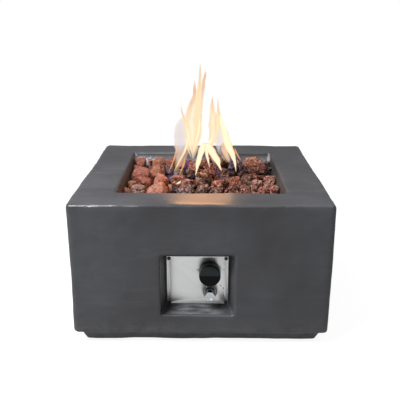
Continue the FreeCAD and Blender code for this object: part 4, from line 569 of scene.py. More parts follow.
def cap(shape, ring, point):
    """Closes a ring with a fan of faces to a point."""
    tip = shape.verts.new(point)
    for index, corner in enumerate(ring):
        shape.faces.new((corner, ring[(index + 1) % len(ring)], tip))


def turned(profile, x, z, steps, swell=None):
    """Rows of points round an axis along y, one for each (radius, y) of the profile."""
    rows = []
    for radius, y in profile:
        row = []
        for step in range(steps):
            angle = math.tau * step / steps
            reach = swell(radius, y, angle) if swell else radius
            row.append((x + reach * math.cos(angle), y, z + reach * math.sin(angle)))
        rows.append(row)
    return rows


# ---- casing ----

# The waves are full down to the first depth inside the skin, and gone from the second on.
WAVE_FULL, WAVE_NONE = 0.001, 0.009
# Knocks: their size, their depth and how far from an edge they reach.
KNOCK_SIZE, KNOCK_DEPTH, EDGE_REACH = 0.013, 0.005, 0.006


def eased_share(share):
    """A share from 0 to 1 that starts and ends softly."""
    share = min(share, 1.0)
    return share * share * (3 - 2 * share)


def skin_depth(point):
    """How far inside the casing's outer skin a point lies."""
    side = max(abs(point.x), abs(point.y))
    if point.z >= PLINTH_TOP:
        return min(HALF_SIDE - side, RIM - point.z)
    slope = (PLINTH_INSET_FOOT - PLINTH_INSET_TOP) / (PLINTH_TOP - CASING_LOW.z)
    edge = HALF_SIDE - PLINTH_INSET_TOP - (PLINTH_TOP - point.z) * slope
    return edge - side


def remeshed(shape, size):
    """The same solid with an even mesh, its edges softened."""
    data = mesh_of(shape, "draft")
    draft = placed("draft", data)
    even = draft.modifiers.new("even", "REMESH")
    even.mode = "VOXEL"
    even.voxel_size = size
    soft = draft.modifiers.new("soft", "SMOOTH")
    soft.factor = 0.5
    soft.iterations = 1
    graph = bpy.context.evaluated_depsgraph_get()
    made = bpy.data.meshes.new_from_object(draft.evaluated_get(graph))
    bpy.data.objects.remove(draft)
    bpy.data.meshes.remove(data)
    return made


def crisp(data, tree):
    """Lays the points about the bowl's mouth and the control bay back on the tree's faces."""
    for vertex in data.vertices:
        x, y, z = vertex.co
        mouth = max(abs(x), abs(y)) < BOWL_HALF + 0.006 and z > RIM - 0.06
        bay = (y < -BOWL_HALF - 0.015 and abs(x - BAY_X) < BAY_HALF
               and BAY_FOOT < z < BAY_TOP)
        if mouth or bay:
            vertex.co = tree.find_nearest(vertex.co)[0]


def casting_wave(point, sizes):
    """How far the hand-cast skin stands out at a point."""
    broad = noise.noise(point / sizes.wave_length) * sizes.wave_height
    ripple = noise.noise(point / (sizes.wave_length * 0.26)) * sizes.ripple_height
    sag = noise.noise(point / (sizes.wave_length * 2.6) + Vector((7, 3, 1)))
    return broad + ripple + sag * sizes.wave_height * 0.8


def casting(sizes):
    """The cast shell with the soft waves and knocks of a hand-finished casting."""
    solid = welded("casing")
    tree = BVHTree.FromBMesh(solid)
    data = remeshed(solid, sizes.skin_mesh)
    crisp(data, tree)
    normals = [vertex.normal.copy() for vertex in data.vertices]
    for vertex, normal in zip(data.vertices, normals):
        share = (WAVE_NONE - skin_depth(vertex.co)) / (WAVE_NONE - WAVE_FULL)
        if share <= 0:
            continue
        share = eased_share(share)
        push = casting_wave(vertex.co, sizes)
        knock = max(0.0, noise.noise(vertex.co / KNOCK_SIZE + Vector((4, 9, 2))) - 0.35)
        ends = sorted((HALF_SIDE - abs(vertex.co.x), HALF_SIDE - abs(vertex.co.y),
                       RIM - vertex.co.z))
        edge = max(0.0, 1 - ends[1] / EDGE_REACH)
        vertex.co += normal * share * (push - knock * edge * KNOCK_DEPTH)
    return data


class FIREPIT_OT_casing(bpy.types.Operator):
    """Makes the cast shell with its waves, eased edges and cement finish"""
    bl_idname = "firepit.casing"
    bl_label = "Cast Casing"

    def execute(self, context):
        finish = cast_cement(context.scene.fire_pit_colours)
        data = casting(context.scene.fire_pit_sizes)
        add_piece("cast_shell", data, finish, "housing", ("casing",))
        return {"FINISHED"}


# ---- lava rock ----

ROCK_TINTS = {
    "salmon": tone(184, 124, 102),
    "orange": tone(163, 108, 85),
    "dusty_red": tone(150, 90, 76),
    "rust": tone(128, 78, 64),
    "red": tone(138, 76, 62),
    "pink": tone(158, 112, 102),
    "grey_brown": tone(114, 88, 78),
    "beige": tone(150, 120, 108),
    "dark_brown": tone(84, 62, 55),
    "purple_grey": tone(90, 76, 84),
    "charcoal": tone(74, 68, 68),
}

# The rocks that show best: their tint, and their place across and down the camera's frame.
ROCKS_SEEN = (
    ("orange", 249.5, 160), ("rust", 256, 170), ("charcoal", 267, 170), ("pink", 270, 180),
    ("dusty_red", 271.5, 189), ("rust", 234, 184), ("grey_brown", 245.5, 178),
    ("pink", 254, 186), ("rust", 244.5, 189), ("purple_grey", 242.5, 168),
    ("dusty_red", 140.5, 163.5), ("orange", 157.5, 162), ("dusty_red", 141, 175),
    ("dusty_red", 153, 170), ("salmon", 162, 178), ("salmon", 160, 187), ("beige", 142, 188),
    ("orange", 130, 190), ("purple_grey", 166, 167), ("red", 170.5, 159),
    ("dark_brown", 201, 180), ("rust", 208, 172), ("charcoal", 188, 174),
    ("purple_grey", 186, 188), ("pink", 185, 181), ("rust", 219, 183), ("dark_brown", 213, 189),
    ("grey_brown", 224, 163), ("dusty_red", 190, 164), ("purple_grey", 232, 169),
)

# How many flat breaks a rock has.
ROCK_BREAKS = 7

# Left of this place the rocks have only this share of the others' roughness.
CALM_SIDE = -0.03
ROCK_CALM = 0.55

# A rock's height above the one that it lies on, as a share of its width.
ROCK_HEIGHT = 0.9

# How far a seen rock's tint reaches in the camera's frame, and how many rocks share a piece.
TINT_REACH = 14
ROCKS_PER_PIECE = 9


def rock_blocks(node):
    """A node's closed blocks, each as its middle and its faces' (direction, offset) planes."""
    shape = welded(node)
    shape.faces.ensure_lookup_table()
    seen = set()
    blocks = []
    for face in shape.faces:
        if face.index in seen:
            continue
        seen.add(face.index)
        waiting = [face]
        planes = {}
        points = {}
        while waiting:
            at = waiting.pop()
            key = tuple(round(part, 2) for part in at.normal)
            planes.setdefault(key, (at.normal.copy(), at.normal.dot(at.verts[0].co)))
            for corner in at.verts:
                points[corner.index] = corner.co.copy()
            for edge in at.edges:
                for other in edge.link_faces:
                    if other.index not in seen:
                        seen.add(other.index)
                        waiting.append(other)
        middle = sum(points.values(), Vector()) / len(points)
        blocks.append((middle, list(planes.values())))
    shape.free()
    return blocks


def rock_points(directions, middle, planes, sharpness, seed, sizes):
    """Points of a rough, nodular rock that fills its block."""
    normals = numpy.array([tuple(normal) for normal, offset in planes])
    spans = numpy.array([offset - normal.dot(middle) for normal, offset in planes])
    # Breaks: flat cuts across the block's corners, at random slants.
    dice = numpy.random.default_rng(int(seed.x * 1000))
    breaks = dice.normal(size=(ROCK_BREAKS, 3))
    breaks /= numpy.linalg.norm(breaks, axis=1)[:, None]
    block = numpy.clip(breaks @ normals.T / spans, 0, None)
    cuts = (block ** sharpness).sum(axis=1) ** (-1 / sharpness)
    cuts *= dice.uniform(0.80, 0.97, ROCK_BREAKS)
    normals = numpy.vstack((normals, breaks))
    spans = numpy.concatenate((spans, cuts))
    facing = numpy.clip(directions @ normals.T / spans, 0, None)
    reaches = (facing ** sharpness).sum(axis=1) ** (-1 / sharpness)
    points = []
    blown = ROCK_CALM if middle.x < CALM_SIDE else 1.0
    for way, reach in zip(directions, reaches):
        way = Vector(way)
        place = way * reach + seed
        lobe = abs(noise.noise(place / 0.017)) ** 0.7
        knob = 1 - abs(noise.noise(place / 0.0072))
        grit = noise.noise(place / 0.0021)
        porous = noise.noise(place / 0.014 + Vector((3, 3, 3))) + 0.5
        bubble = noise.voronoi(place / 0.0048)[0][0]
        pit = max(0.0, 1 - bubble / 0.5) ** 0.6 * max(0.0, porous) * sizes.rock_pit
        lumps = (lobe - 0.25) * sizes.rock_lobe + (knob - 0.85) * 0.0032 + pit
        inward = lumps * blown - grit * 0.0011
        points.append(middle + way * max(reach - inward, reach * 0.55))
    return points


def stacked(middle, planes):
    """A tall block as two rocks, one on the other. Each is a middle and its planes."""
    up = Vector((0, 0, 1))

    def level(plane):
        normal, offset = plane
        return (offset - normal.x * middle.x - normal.y * middle.y) / normal.z

    top = min(level(plane) for plane in planes if plane[0].z > 0.3)
    foot = max(level(plane) for plane in planes if plane[0].z < -0.9)
    width = 2 * min(offset - normal.dot(middle) for normal, offset in planes
                    if abs(normal.z) < 0.3)
    seam = top - width * ROCK_HEIGHT
    if seam < foot + width * 0.3:
        return [(middle, planes)]
    above = planes + [(-up, -seam)]
    below = [plane for plane in planes if plane[0].z < 0.3] + [(up, seam)]
    return [(Vector((middle.x, middle.y, (top + seam) / 2)), above),
            (Vector((middle.x, middle.y, (seam + foot) / 2)), below)]


def tint_of(middle, size):
    """The tint of the seen rock that lies nearest in the camera's frame."""
    place = frame_place(middle + Vector((0, -0.25 * size, 0.35 * size)))
    nearest = min(ROCKS_SEEN, key=lambda rock: (place - Vector(rock[1:])).length)
    if (place - Vector(nearest[1:])).length > TINT_REACH:
        names = list(ROCK_TINTS)
        return ROCK_TINTS[names[int(abs(middle.x * 7919 + middle.y * 104729)) % len(names)]]
    return ROCK_TINTS[nearest[0]]


def rock_group(name, blocks, first, divisions, finish, replaces, sizes):
    """One piece that holds several rocks, each with its own tint."""
    ball = bmesh.new()
    bmesh.ops.create_icosphere(ball, subdivisions=divisions, radius=1)
    directions = numpy.array([tuple(vertex.co) for vertex in ball.verts])
    corners = [[vertex.index for vertex in face.verts] for face in ball.faces]
    ball.free()
    points = []
    faces = []
    tints = []
    for index, (middle, planes) in enumerate(blocks, start=first):
        seed = Vector((index * 0.37, index * 0.11, index * 0.73))
        sharpness = 14 + 5 * noise.noise(seed * 3)
        start = len(points)
        points.extend(rock_points(directions, middle, planes, sharpness, seed, sizes))
        faces.extend([start + corner for corner in face] for face in corners)
        size = max((point - middle).length for point in points[start:])
        tints.extend([tint_of(middle, size)] * len(directions))
    data = bpy.data.meshes.new(name)
    data.from_pydata(points, [], faces)
    layer = data.color_attributes.new("tint", "FLOAT_COLOR", "POINT")
    layer.data.foreach_set("color", [part for tint in tints for part in tint])
    add_piece(name, data, finish, "housing", replaces)


class FIREPIT_OT_lava_rocks(bpy.types.Operator):
    """Makes every lava rock as a rough, pitted stone inside its own block"""
    bl_idname = "firepit.lava_rocks"
    bl_label = "Lava Rocks"

    def execute(self, context):
        sizes = context.scene.fire_pit_sizes
        finish = lava_rock()
        upper = [stacked(*block) for block in rock_blocks("lava_rocks_upper")]
        tops = [rocks[0] for rocks in upper]
        under = [rock for rocks in upper for rock in rocks[1:]]
        for part, first in enumerate(range(0, len(tops), ROCKS_PER_PIECE)):
            rock_group(f"lava_rocks_top_{part + 1}", tops[first:first + ROCKS_PER_PIECE], first,
                       sizes.rock_faces, finish, ("lava_rocks_upper",), sizes)
        rock_group("lava_rocks_under", under, len(tops), sizes.rock_faces - 1, finish,
                   ("lava_rocks_upper",), sizes)
        lower = rock_blocks("lava_rocks_lower")
        rock_group("lava_rocks_bed", lower, len(tops) + len(under), sizes.rock_faces - 1,
                   finish, ("lava_rocks_lower",), sizes)
        return {"FINISHED"}


# ---- control panel ----

def bar(shape, x, z, width, height, front, thickness, bevel):
    """Adds a slim printed or inlaid bar that stands proud of the panel."""
    made = bmesh.ops.create_cube(shape, size=1.0)["verts"]
    bmesh.ops.scale(shape, vec=(width, thickness, height), verts=made)
    bmesh.ops.translate(shape, vec=(x, front - thickness / 2, z), verts=made)
    edges = list({edge for vertex in made for edge in vertex.link_edges})
    bmesh.ops.bevel(shape, geom=edges, offset=bevel, segments=2, affect="EDGES", profile=0.5)


# Plain marks beside the controls, each at its place in the frame, with its width and height.
TICKS_SEEN = (
    (197.3, 269.7, 0.0032, 0.0007), (223.9, 269.7, 0.0032, 0.0007),
    (220.7, 285.5, 0.0016, 0.0016), (223.4, 288.3, 0.0012, 0.0036),
    (223.4, 292.0, 0.0016, 0.0013), (223.6, 294.4, 0.0010, 0.0010),
)


class FIREPIT_OT_control_panel(bpy.types.Operator):
    """Makes the brushed panel plate with eased edges, its plain tick marks and its screws"""
    bl_idname = "firepit.control_panel"
    bl_label = "Control Panel"

    def execute(self, context):
        sizes = context.scene.fire_pit_sizes
        plate = eased("control_panel", sizes.plate_edge)
        add_piece("panel_plate", plate, brushed_panel(context.scene.fire_pit_colours),
                  "housing", ("control_panel",), 40)
        marks = bmesh.new()
        for across, down, width, height in TICKS_SEEN:
            place = frame_point(across, down, PANEL_LOW.y)
            bar(marks, place.x, place.z, width, height, PANEL_LOW.y, 0.00012, 0.00005)
        add_piece("panel_marks", marks, moulded("panel_ink", (60, 60, 62), 0.5, 0.6),
                  "housing", (), 40)
        dark = metal("dark_screw", (70, 70, 72), 0.28, 0.45, 0.002, (40, 40, 42))
        add_piece("panel_screw_set", eased("panel_screws", 0.00012), dark,
                  "housing", ("panel_screws",), 40)
        return {"FINISHED"}


# ---- knob ----

# The knob's front: its ridge, the slopes of its two facets and how far back they fade away.
KNOB_RIDGE = KNOB_Z + 0.0015
KNOB_SLOPE_ABOVE = math.radians(5)
KNOB_SLOPE_BELOW = math.radians(9)
FACETS_FADE = 0.0035


def knob_front(z):
    """How far the knob's front lies back at a height: two facets that meet at a level ridge."""
    above = max(0.0, z - KNOB_RIDGE) * math.tan(KNOB_SLOPE_ABOVE)
    below = max(0.0, KNOB_RIDGE - z) * math.tan(KNOB_SLOPE_BELOW)
    return above + below


def knob_shape():
    """A tapered cap with two front facets, an eased rim and a hollow back."""
    back, front = KNOB_HIGH.y, KNOB_LOW.y
    outer = (KNOB_HIGH.x - KNOB_LOW.x) / 2
    face = outer - 0.0004
    wall = 0.003
    ceiling = front + 0.0045
    boss, bore = 0.006, 0.0033
    bore_end = STEM_TIP - 0.0003
    outline = [(bore, bore_end), (bore, back - 0.001), (boss, back - 0.001), (boss, ceiling),
               (outer - wall, ceiling), (outer - wall, back), (outer, back), (face, front),
               (0.0005, front)]
    radii = (0.0003, 0.0004, 0.001, 0.001, 0.0005, 0.0006, 0.0022)
    profile = rounded(outline, radii, 8)[:-1]
    profile += [Vector((face * 0.08 * step, front)) for step in range(10, 0, -1)]
    rows = []
    for (radius, y), row in zip(profile, turned(profile, KNOB_X, KNOB_Z, 128)):
        share = min(1.0, max(0.0, (front + FACETS_FADE - y) / FACETS_FADE)) ** 2
        rows.append([(x, y + knob_front(z) * share, z) for x, y, z in row])
    shape = bmesh.new()
    made = rings(shape, rows)
    cap(shape, made[-1], (KNOB_X, front + knob_front(KNOB_Z), KNOB_Z))
    cap(shape, made[0], (KNOB_X, bore_end, KNOB_Z))
    return shape


class FIREPIT_OT_knob(bpy.types.Operator):
    """Makes the control knob: a tapered cap, two front facets, an eased rim and a hollow back"""
    bl_idname = "firepit.knob"
    bl_label = "Control Knob"

    def execute(self, context):
        add_piece("knob_cap", knob_shape(), knob_plastic(context.scene.fire_pit_colours),
                  "knob", ("control_knob",), 50)
        return {"FINISHED"}


# ---- igniter ----

# The button: where its front lies, its radii, half the width of its six-sided front, where its
# cap's ceiling lies and its facets begin, how deep it is dished and how round its front edge is.
BUTTON_FRONT = BUTTON_LOW.y
BUTTON_OUTER = (BUTTON_HIGH.x - BUTTON_LOW.x) / 2
BUTTON_INNER = BUTTON_OUTER - 0.002
BUTTON_FLAT = BUTTON_OUTER * 0.89
BUTTON_CEILING = BUTTON_FRONT + 0.0031
BUTTON_FACETS = BUTTON_FRONT + 0.0062
BUTTON_DISH = 0.0008
BUTTON_EDGE = 0.0010
# How crisp the corners between its six sides are.
HEXAGON_POWER = 22


def hexagon_reach(angle):
    """How far the button's rounded hexagon reaches at an angle, with a flat side at the top."""
    total = 0.0
    for side in range(6):
        facing = math.cos(angle - math.radians(90 + 60 * side))
        if facing > 0:
            total += (facing / BUTTON_FLAT) ** HEXAGON_POWER
    return min(BUTTON_OUTER, total ** (-1 / HEXAGON_POWER))


def button_swell(radius, y, angle):
    """The button's reach: round towards its root and six-sided at its front."""
    if y >= BUTTON_FACETS or radius < BUTTON_INNER:
        return radius
    share = eased_share((BUTTON_FACETS - y) / (BUTTON_FACETS - BUTTON_FRONT - 0.0012))
    return radius * (1 - share) + hexagon_reach(angle) * radius / BUTTON_OUTER * share


def add_plunger(shape):
    """Adds the pin that stands behind the button's front."""
    tail = BUTTON_HIGH.y
    root = BUTTON_CEILING - 0.0005
    thin, thick = 0.0023, 0.0025
    profile = [(0.0005, tail), (thin, tail), (thick, tail - 0.0004), (thick, root),
               (0.0005, root)]
    made = rings(shape, turned(profile, BUTTON_X, BUTTON_Z, 32))
    cap(shape, made[0], (BUTTON_X, tail, BUTTON_Z))
    cap(shape, made[-1], (BUTTON_X, root, BUTTON_Z))


def button_shape():
    """A hollow cap with a six-sided, dished front, and the pin behind it."""
    front, outer, inner = BUTTON_FRONT, BUTTON_OUTER, BUTTON_INNER
    skirt = PANEL_HIGH.y + BUTTON_TAIL
    outline = [(0.0005, BUTTON_CEILING), (inner, BUTTON_CEILING), (inner, skirt), (outer, skirt),
               (outer, BUTTON_FACETS), (outer, front)]
    profile = rounded(outline, (0.0006, 0.0003, 0.0004, 0.0), 5)[:-1]
    length = front + BUTTON_EDGE - BUTTON_FACETS
    profile += [Vector((outer, BUTTON_FACETS + length * step / 10)) for step in range(1, 11)]
    for step in range(1, 7):
        turn = math.pi / 2 * step / 6
        profile.append(Vector((outer - BUTTON_EDGE * (1 - math.cos(turn)),
                               front + BUTTON_EDGE * (1 - math.sin(turn)))))
    rows = turned(profile, BUTTON_X, BUTTON_Z, 120, button_swell)
    edge = rows[-1]
    for share, back in ((0.9, 0), (0.74, 0), (0.70, BUTTON_DISH), (0.6, BUTTON_DISH),
                        (0.3, BUTTON_DISH)):
        rows.append([(BUTTON_X + (x - BUTTON_X) * share, front + back,
                      BUTTON_Z + (z - BUTTON_Z) * share) for x, y, z in edge])
    shape = bmesh.new()
    made = rings(shape, rows)
    cap(shape, made[-1], (BUTTON_X, front + BUTTON_DISH, BUTTON_Z))
    cap(shape, made[0], (BUTTON_X, BUTTON_CEILING, BUTTON_Z))
    add_plunger(shape)
    return shape


class FIREPIT_OT_igniter(bpy.types.Operator):
    """Makes the chrome push button with its six-sided front, and finishes its bezel"""
    bl_idname = "firepit.igniter"
    bl_label = "Igniter"

    def execute(self, context):
        add_piece("igniter_push_button", button_shape(), button_chrome(), "igniter_button",
                  ("igniter_button",), 30)
        dress("igniter_bezel", metal("bezel_chrome", (128, 126, 128), 0.05, 0.12, 0.004,
                                     depth=0.000002))
        return {"FINISHED"}


# ---- gas inlet ----

# The inlet: where its hexagon begins and ends, its thread's crest and depth, and its bore.
INLET_SEAT = 0.172
INLET_COLLAR = INLET_SEAT + 0.005
THREAD_CREST, THREAD_DEPTH, INLET_BORE = 0.0066, 0.00072, 0.003
# How many rows of points each turn of the thread has.
THREAD_ROWS = 8


def add_threaded_tube(shape, pitch):
    """Adds the inlet's tube, with a real helical thread on its outer end."""
    nose, tail = INLET_HIGH.y, INLET_LOW.y
    crest, bore, collar = THREAD_CREST, INLET_BORE, INLET_COLLAR

    def threaded(radius, y, angle):
        if radius < crest - 1e-5:
            return radius
        turn = (y / pitch - angle / math.tau) % 1
        groove = 1 - abs(2 * turn - 1)
        run_in = max(0.0, min(1.0, (y - collar) / 0.0015))
        return radius - THREAD_DEPTH * min(1.0, groove * 1.3) * run_in

    profile = [(bore, nose), (crest - 0.001, nose)]
    length = nose - 0.001 - collar
    steps = int(length / pitch * THREAD_ROWS)
    for step in range(steps + 1):
        profile.append((crest, nose - 0.001 - length * step / steps))
    profile += [(crest - 0.0002, collar - 0.001), (crest - 0.0002, tail + 0.001),
                (crest - 0.0012, tail), (bore, tail)]
    rings(shape, turned(profile, INLET_X, INLET_Z, 64, threaded), closed=True)


def add_inlet_hexagon(shape):
    """Adds the inlet's hexagon, its corners turned down on both faces."""
    flats = (INLET_HIGH.z - INLET_LOW.z) / 2
    wide = flats / math.cos(math.pi / 6)
    root = THREAD_CREST - 0.0004

    def hexagon(radius, y, angle):
        if radius < flats:
            return radius
        return min(flats / math.cos((angle - math.pi / 2) % (math.pi / 3) - math.pi / 6), radius)

    half = [(root, 0), (flats - 0.0001, 0), (wide - 0.0006, 0.0006), (wide, 0.0012)]
    profile = [(radius, INLET_SEAT + y) for radius, y in half]
    profile += [(radius, INLET_COLLAR - y) for radius, y in reversed(half)]
    rings(shape, turned(profile, INLET_X, INLET_Z, 96, hexagon), closed=True)


class FIREPIT_OT_gas_inlet(bpy.types.Operator):
    """Makes the brass gas inlet with its turned hexagon and a real helical thread"""
    bl_idname = "firepit.gas_inlet"
    bl_label = "Gas Inlet"

    def execute(self, context):
        shape = bmesh.new()
        add_threaded_tube(shape, context.scene.fire_pit_sizes.thread_pitch)
        add_inlet_hexagon(shape)
        brass = metal("bright_brass", (208, 170, 96), 0.22, 0.38, 0.004, (150, 116, 62))
        add_piece("inlet_nipple", shape, brass, "housing", ("inlet_fitting",), 25)
        return {"FINISHED"}


# ---- return springs ----

# Each return spring: its piece, its node and the joint that pushes it.
SPRINGS = (("valve_return_spring", "valve_spring", "knob_push"),
           ("igniter_return_spring", "igniter_spring", "igniter_push"))


class FIREPIT_OT_return_springs(bpy.types.Operator):
    """Makes the valve's and the igniter's return springs, each with a mesh of its own"""
    bl_idname = "firepit.return_springs"
    bl_label = "Return Springs"

    def execute(self, context):
        finish = metal("spring_steel", (150, 152, 156), 0.2, 0.32, 0.005)
        for name, node, joint in SPRINGS:
            piece = add_piece(name, welded(node), finish, "housing", (node,), 40)
            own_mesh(piece)
        return {"FINISHED"}


# ---- the pieces that keep their own shape ----

def dress(node, finish):
    """Gives a model's own node a finish."""
    for place in NODES[node].material_slots:
        place.material = finish


def plain_finishes():
    """Each plain finish, with the nodes that wear it."""
    return {
        metal("galvanised_sheet", (168, 172, 176), 0.32, 0.5, 0.012, (138, 143, 148)):
            "base_plate heat_shield",
        metal("zinc_plate", (186, 188, 190), 0.25, 0.4, 0.004, (150, 150, 148)):
            "foot_screws base_screws tray_screws shield_spacers shield_bolts shield_nuts "
            "pilot_screws",
        metal("tray_steel", (120, 118, 116), 0.35, 0.55, 0.014, (84, 66, 56)):
            "burner_tray pilot_bracket",
        metal("burner_steel", (150, 142, 134), 0.3, 0.5, 0.010, (96, 74, 86)):
            "burner_ring",
        metal("gas_brass", (200, 162, 92), 0.25, 0.4, 0.006, (140, 108, 60)):
            "hub_nut mixer_tube injector_elbow injector_jet panel_inserts valve_body "
            "safety_magnet sensor_lead_nut inlet_lock_nut supply_nut_inlet supply_nut_valve "
            "outlet_nut_valve outlet_nut_injector",
        metal("drawn_aluminium", (190, 192, 194), 0.28, 0.42, 0.02):
            "supply_pipe outlet_pipe",
        metal("probe_steel", (170, 170, 172), 0.2, 0.35, 0.006):
            "flame_sensor electrode_wire valve_push_rod valve_stem",
        metal("black_screw", (64, 64, 66), 0.3, 0.45, 0.003): "valve_screws",
        moulded("ceramic", (232, 228, 218), 0.15, 0.3): "electrode_ceramic",
        moulded("igniter_moulding", (30, 30, 32), 0.35, 0.5): "igniter_body igniter_nut",
        moulded("lead_sleeve", (150, 52, 42), 0.4, 0.6): "sensor_lead ignition_lead",
        moulded("foot_rubber", (26, 26, 27), 0.7, 0.9, 0.0018, 0.00012, 0.25): "rubber_feet",
    }


class FIREPIT_OT_inner_parts(bpy.types.Operator):
    """Gives the feet, burner, valve, pipes, leads and fasteners their finishes"""
    bl_idname = "firepit.inner_parts"
    bl_label = "Inner Parts"

    def execute(self, context):
        for finish, nodes in plain_finishes().items():
            for node in nodes.split():
                dress(node, finish)
        return {"FINISHED"}


# ---- fire ----

# Each tongue: its kind, how far back it stands from -1 to 1, and the points of its line from
# the tip down, each as its place across and down the camera's frame and its half width.
TONGUES = {
    "body": ("body", 0.35, "197.6 88 .4, 196.6 98 5.2, 194.6 108 7.4, 193.6 114 8.8, 193 122 9, "
        "192.9 130 8.7, 193.4 138 7.4, 193.6 146 5.6, 193.4 153 3, 192.6 159 .5"),
    "fold": ("fold", 0.05, "195.6 98 .3, 194.4 108 1.6, 192.6 118 2.2, 192.2 130 2.4, "
        "193.6 142 1.6, 194.4 152 .3"),
    "tall": ("flame", 0.1, "200.4 62.6 .2, 200.3 70 1, 199.8 80 1.9, 198.6 92 3.2, 198 104 3.9, "
        "197.8 116 4.4, 197.4 128 4.4, 196.4 138 3.6, 195 146 2.4, 193 153 .6"),
    "tall_right": ("edge", 0.2, "205.9 71 .3, 204.8 75 1.3, 203.8 81 1.9, 203 90 1.9, "
        "202.2 100 1.5, 201.6 112 1"),
    "tall_left": ("edge", 0.3, "194.8 79.4 .2, 194.6 88 1.3, 193.6 98 2.4, 191.2 107 2.8, "
        "188.4 114 2.6, 187 124 1.8"),
    "left": ("flame", -0.1, "180.4 104 .2, 182 111 1, 184.2 118 2, 186 128 2.3, 187.2 138 2.2, "
        "187.8 146 1.5, 189.6 153 1, 191 158 .3"),
    "left_low": ("hot", -0.3, "187.6 138 .6, 186.4 146 1.5, 184.2 152 1.5, 181.2 158 1.2, "
        "177.6 165 .9, 173.4 172 .3"),
    "left_far": ("amber", 0, "176.6 146 .4, 176.2 151 .9, 174.8 157 .9, 172.2 164 .7, 168.8 172 .3"),
    "left_veil": ("veil", 0.6, "184 114 .6, 181.4 121 3.6, 180 129 5.8, 180.4 138 7, 180.8 147 6.2, "
        "180 156 3.8, 178 166 .6"),
    "left_smoke": ("smoke", 0.5, "187 143 .6, 184 149 4.4, 182 155 5.4, 180 161 4.6, 177 168 2.6, "
        "174 175 .5"),
    "right_smoke": ("smoke", 0.6, "221 145 .5, 222.6 150 3.6, 224.6 156 3.6, 226.6 163 .5"),
    "inner_left": ("hot", -0.2, "199.8 118 .5, 199 128 1.8, 197 138 2.2, 194.8 147 1.3, 193 153 .3"),
    "left_wisp": ("hot", -0.4, "186.4 126 .4, 188.2 135 1.3, 190 144 1.4, 191.8 152 .8, 193.4 158 .2"),
    "left_ember": ("amber", -0.6, "185 157 .3, 184.2 163 .8, 182 169 .8, 178.8 176 .2"),
    "spark": ("hot", -1, "180.4 181 .5, 178.6 183 2.2, 175.8 184.4 .6"),
    "spark_red": ("ember", -1, "175.4 181.6 .3, 173.4 182.4 1.1, 171.4 182 .4"),
    "middle": ("bright", -0.5, "204.2 142.4 1.4, 202.4 147 3, 200.6 153 3.5, 198.8 160 2.8, "
        "197.2 167 1.5, 195.2 176 .3"),
    "right_core": ("fold", 0.1, "212.6 112 .3, 213.2 120 1.2, 213.4 129 1.6, 212.4 138 1.4, "
        "210.8 146 .4"),
    "right_tip": ("flame", 0.3, "212.3 95.6 .2, 212.4 102 1.2, 212.5 110 2.7, 213 118 4, "
        "213 128 4.2, 212.2 137 3.5, 210.6 145 2.4, 209.4 151 .8"),
    "right_twin": ("flame", 0.1, "217.5 97.6 .2, 218 105 1, 218.6 112 2.1, 219.2 119 3, "
        "218.2 127 3, 216 135 2.2, 213 143 1.6, 210.6 150 .8"),
    "right": ("bright", 0, "219.6 112 .4, 221 119 1.6, 222.8 126 2.8, 224.8 134 3.6, 227.2 142 4.2, "
        "230 149 4, 233.2 157 2.6, 235.2 165 1.1, 235.9 172 .3"),
    "right_haze": ("mantle", 0.3, "222.6 142 .5, 224.6 150 3, 227 157 2.4, 229 163 .5"),
    "right_wisp": ("amber", 0.3, "234.4 148 .4, 237 154 .9, 240.9 161 .3"),
    "bridge": ("bright", -0.4, "211.6 138.6 .6, 209.6 142 1.9, 206.4 144.4 1.9, 203.4 146.6 .8"),
    "front": ("bright", -0.7, "206.4 142.4 1.8, 209 147 4.2, 212.6 153 4.5, 216.4 160 3.2, "
        "219.6 166 1.7, 221.8 171 .3"),
    "front_left": ("bright", -0.8, "205.6 146 .8, 206.6 152 1.7, 207.8 159 1.3, 209.8 168 .3"),
    "right_veil": ("veil", 0.8, "218.4 118 .6, 218.8 126 3, 219 134 4.2, 219.2 142 4.6, "
        "219.8 149 3.4, 220.4 156 .6"),
    "foot_left": ("blue", -0.3, "188.6 155 .4, 188 161 2.4, 186 167 2.6, 183 173 .4"),
    "foot_far_left": ("blue", -0.5, "173 170 .4, 170.4 175 2.2, 168 181 .4"),
    "foot_middle": ("blue", 0.2, "196.6 147 .4, 196.4 153 1.6, 195 159 .4"),
    "foot_low": ("blue", -0.8, "193 172 .4, 191.6 178 1.8, 190 183 .4"),
    "foot_back": ("blue", 0.5, "221.6 143 .4, 221.2 149 2.2, 219.4 156 1.8, 218 160 .3"),
    "foot_right": ("blue", 0.1, "231 160 .4, 231.4 167 2.2, 230 174 .4"),
    "foot_side": ("blue", 0.3, "238.6 154 .4, 240 159 1.5, 241.4 164 .3"),
    "foot_front": ("blue", -0.6, "213.6 165 .4, 217 172 2.2, 221 177 2, 224 180 .4"),
}

TONGUE_STEPS = 6
# A tongue's depth from front to back, as a share of its width.
TONGUE_FLATNESS = 0.7

# The light that the fire throws: its colour, and the radius of each of its two sources.
GLOW_COLOUR = (1.0, 0.43, 0.13)
GLOW_SIZE = 0.028

# Each gas: how fast it takes in light for each metre, and the colour that it glows.
GASES = {
    "mantle": (210, (0.97, 0.66, 0.42)),
    "tip": (700, (0.80, 0.52, 0.36)),
    "body": (150, (1.00, 0.83, 0.60)),
    "fold": (230, (1.10, 1.00, 0.74)),
    "core": (420, (1.10, 0.95, 0.62)),
    "amber": (420, (1.30, 0.62, 0.20)),
    "heart": (640, (1.52, 1.30, 1.02)),
    "flare": (300, (1.22, 0.78, 0.42)),
    "veil": (120, (0.80, 0.70, 0.68)),
    "smoke": (95, (0.62, 0.40, 0.27)),
    "ember": (420, (1.70, 0.42, 0.08)),
    "blue": (80, (0.055, 0.05, 0.17)),
}
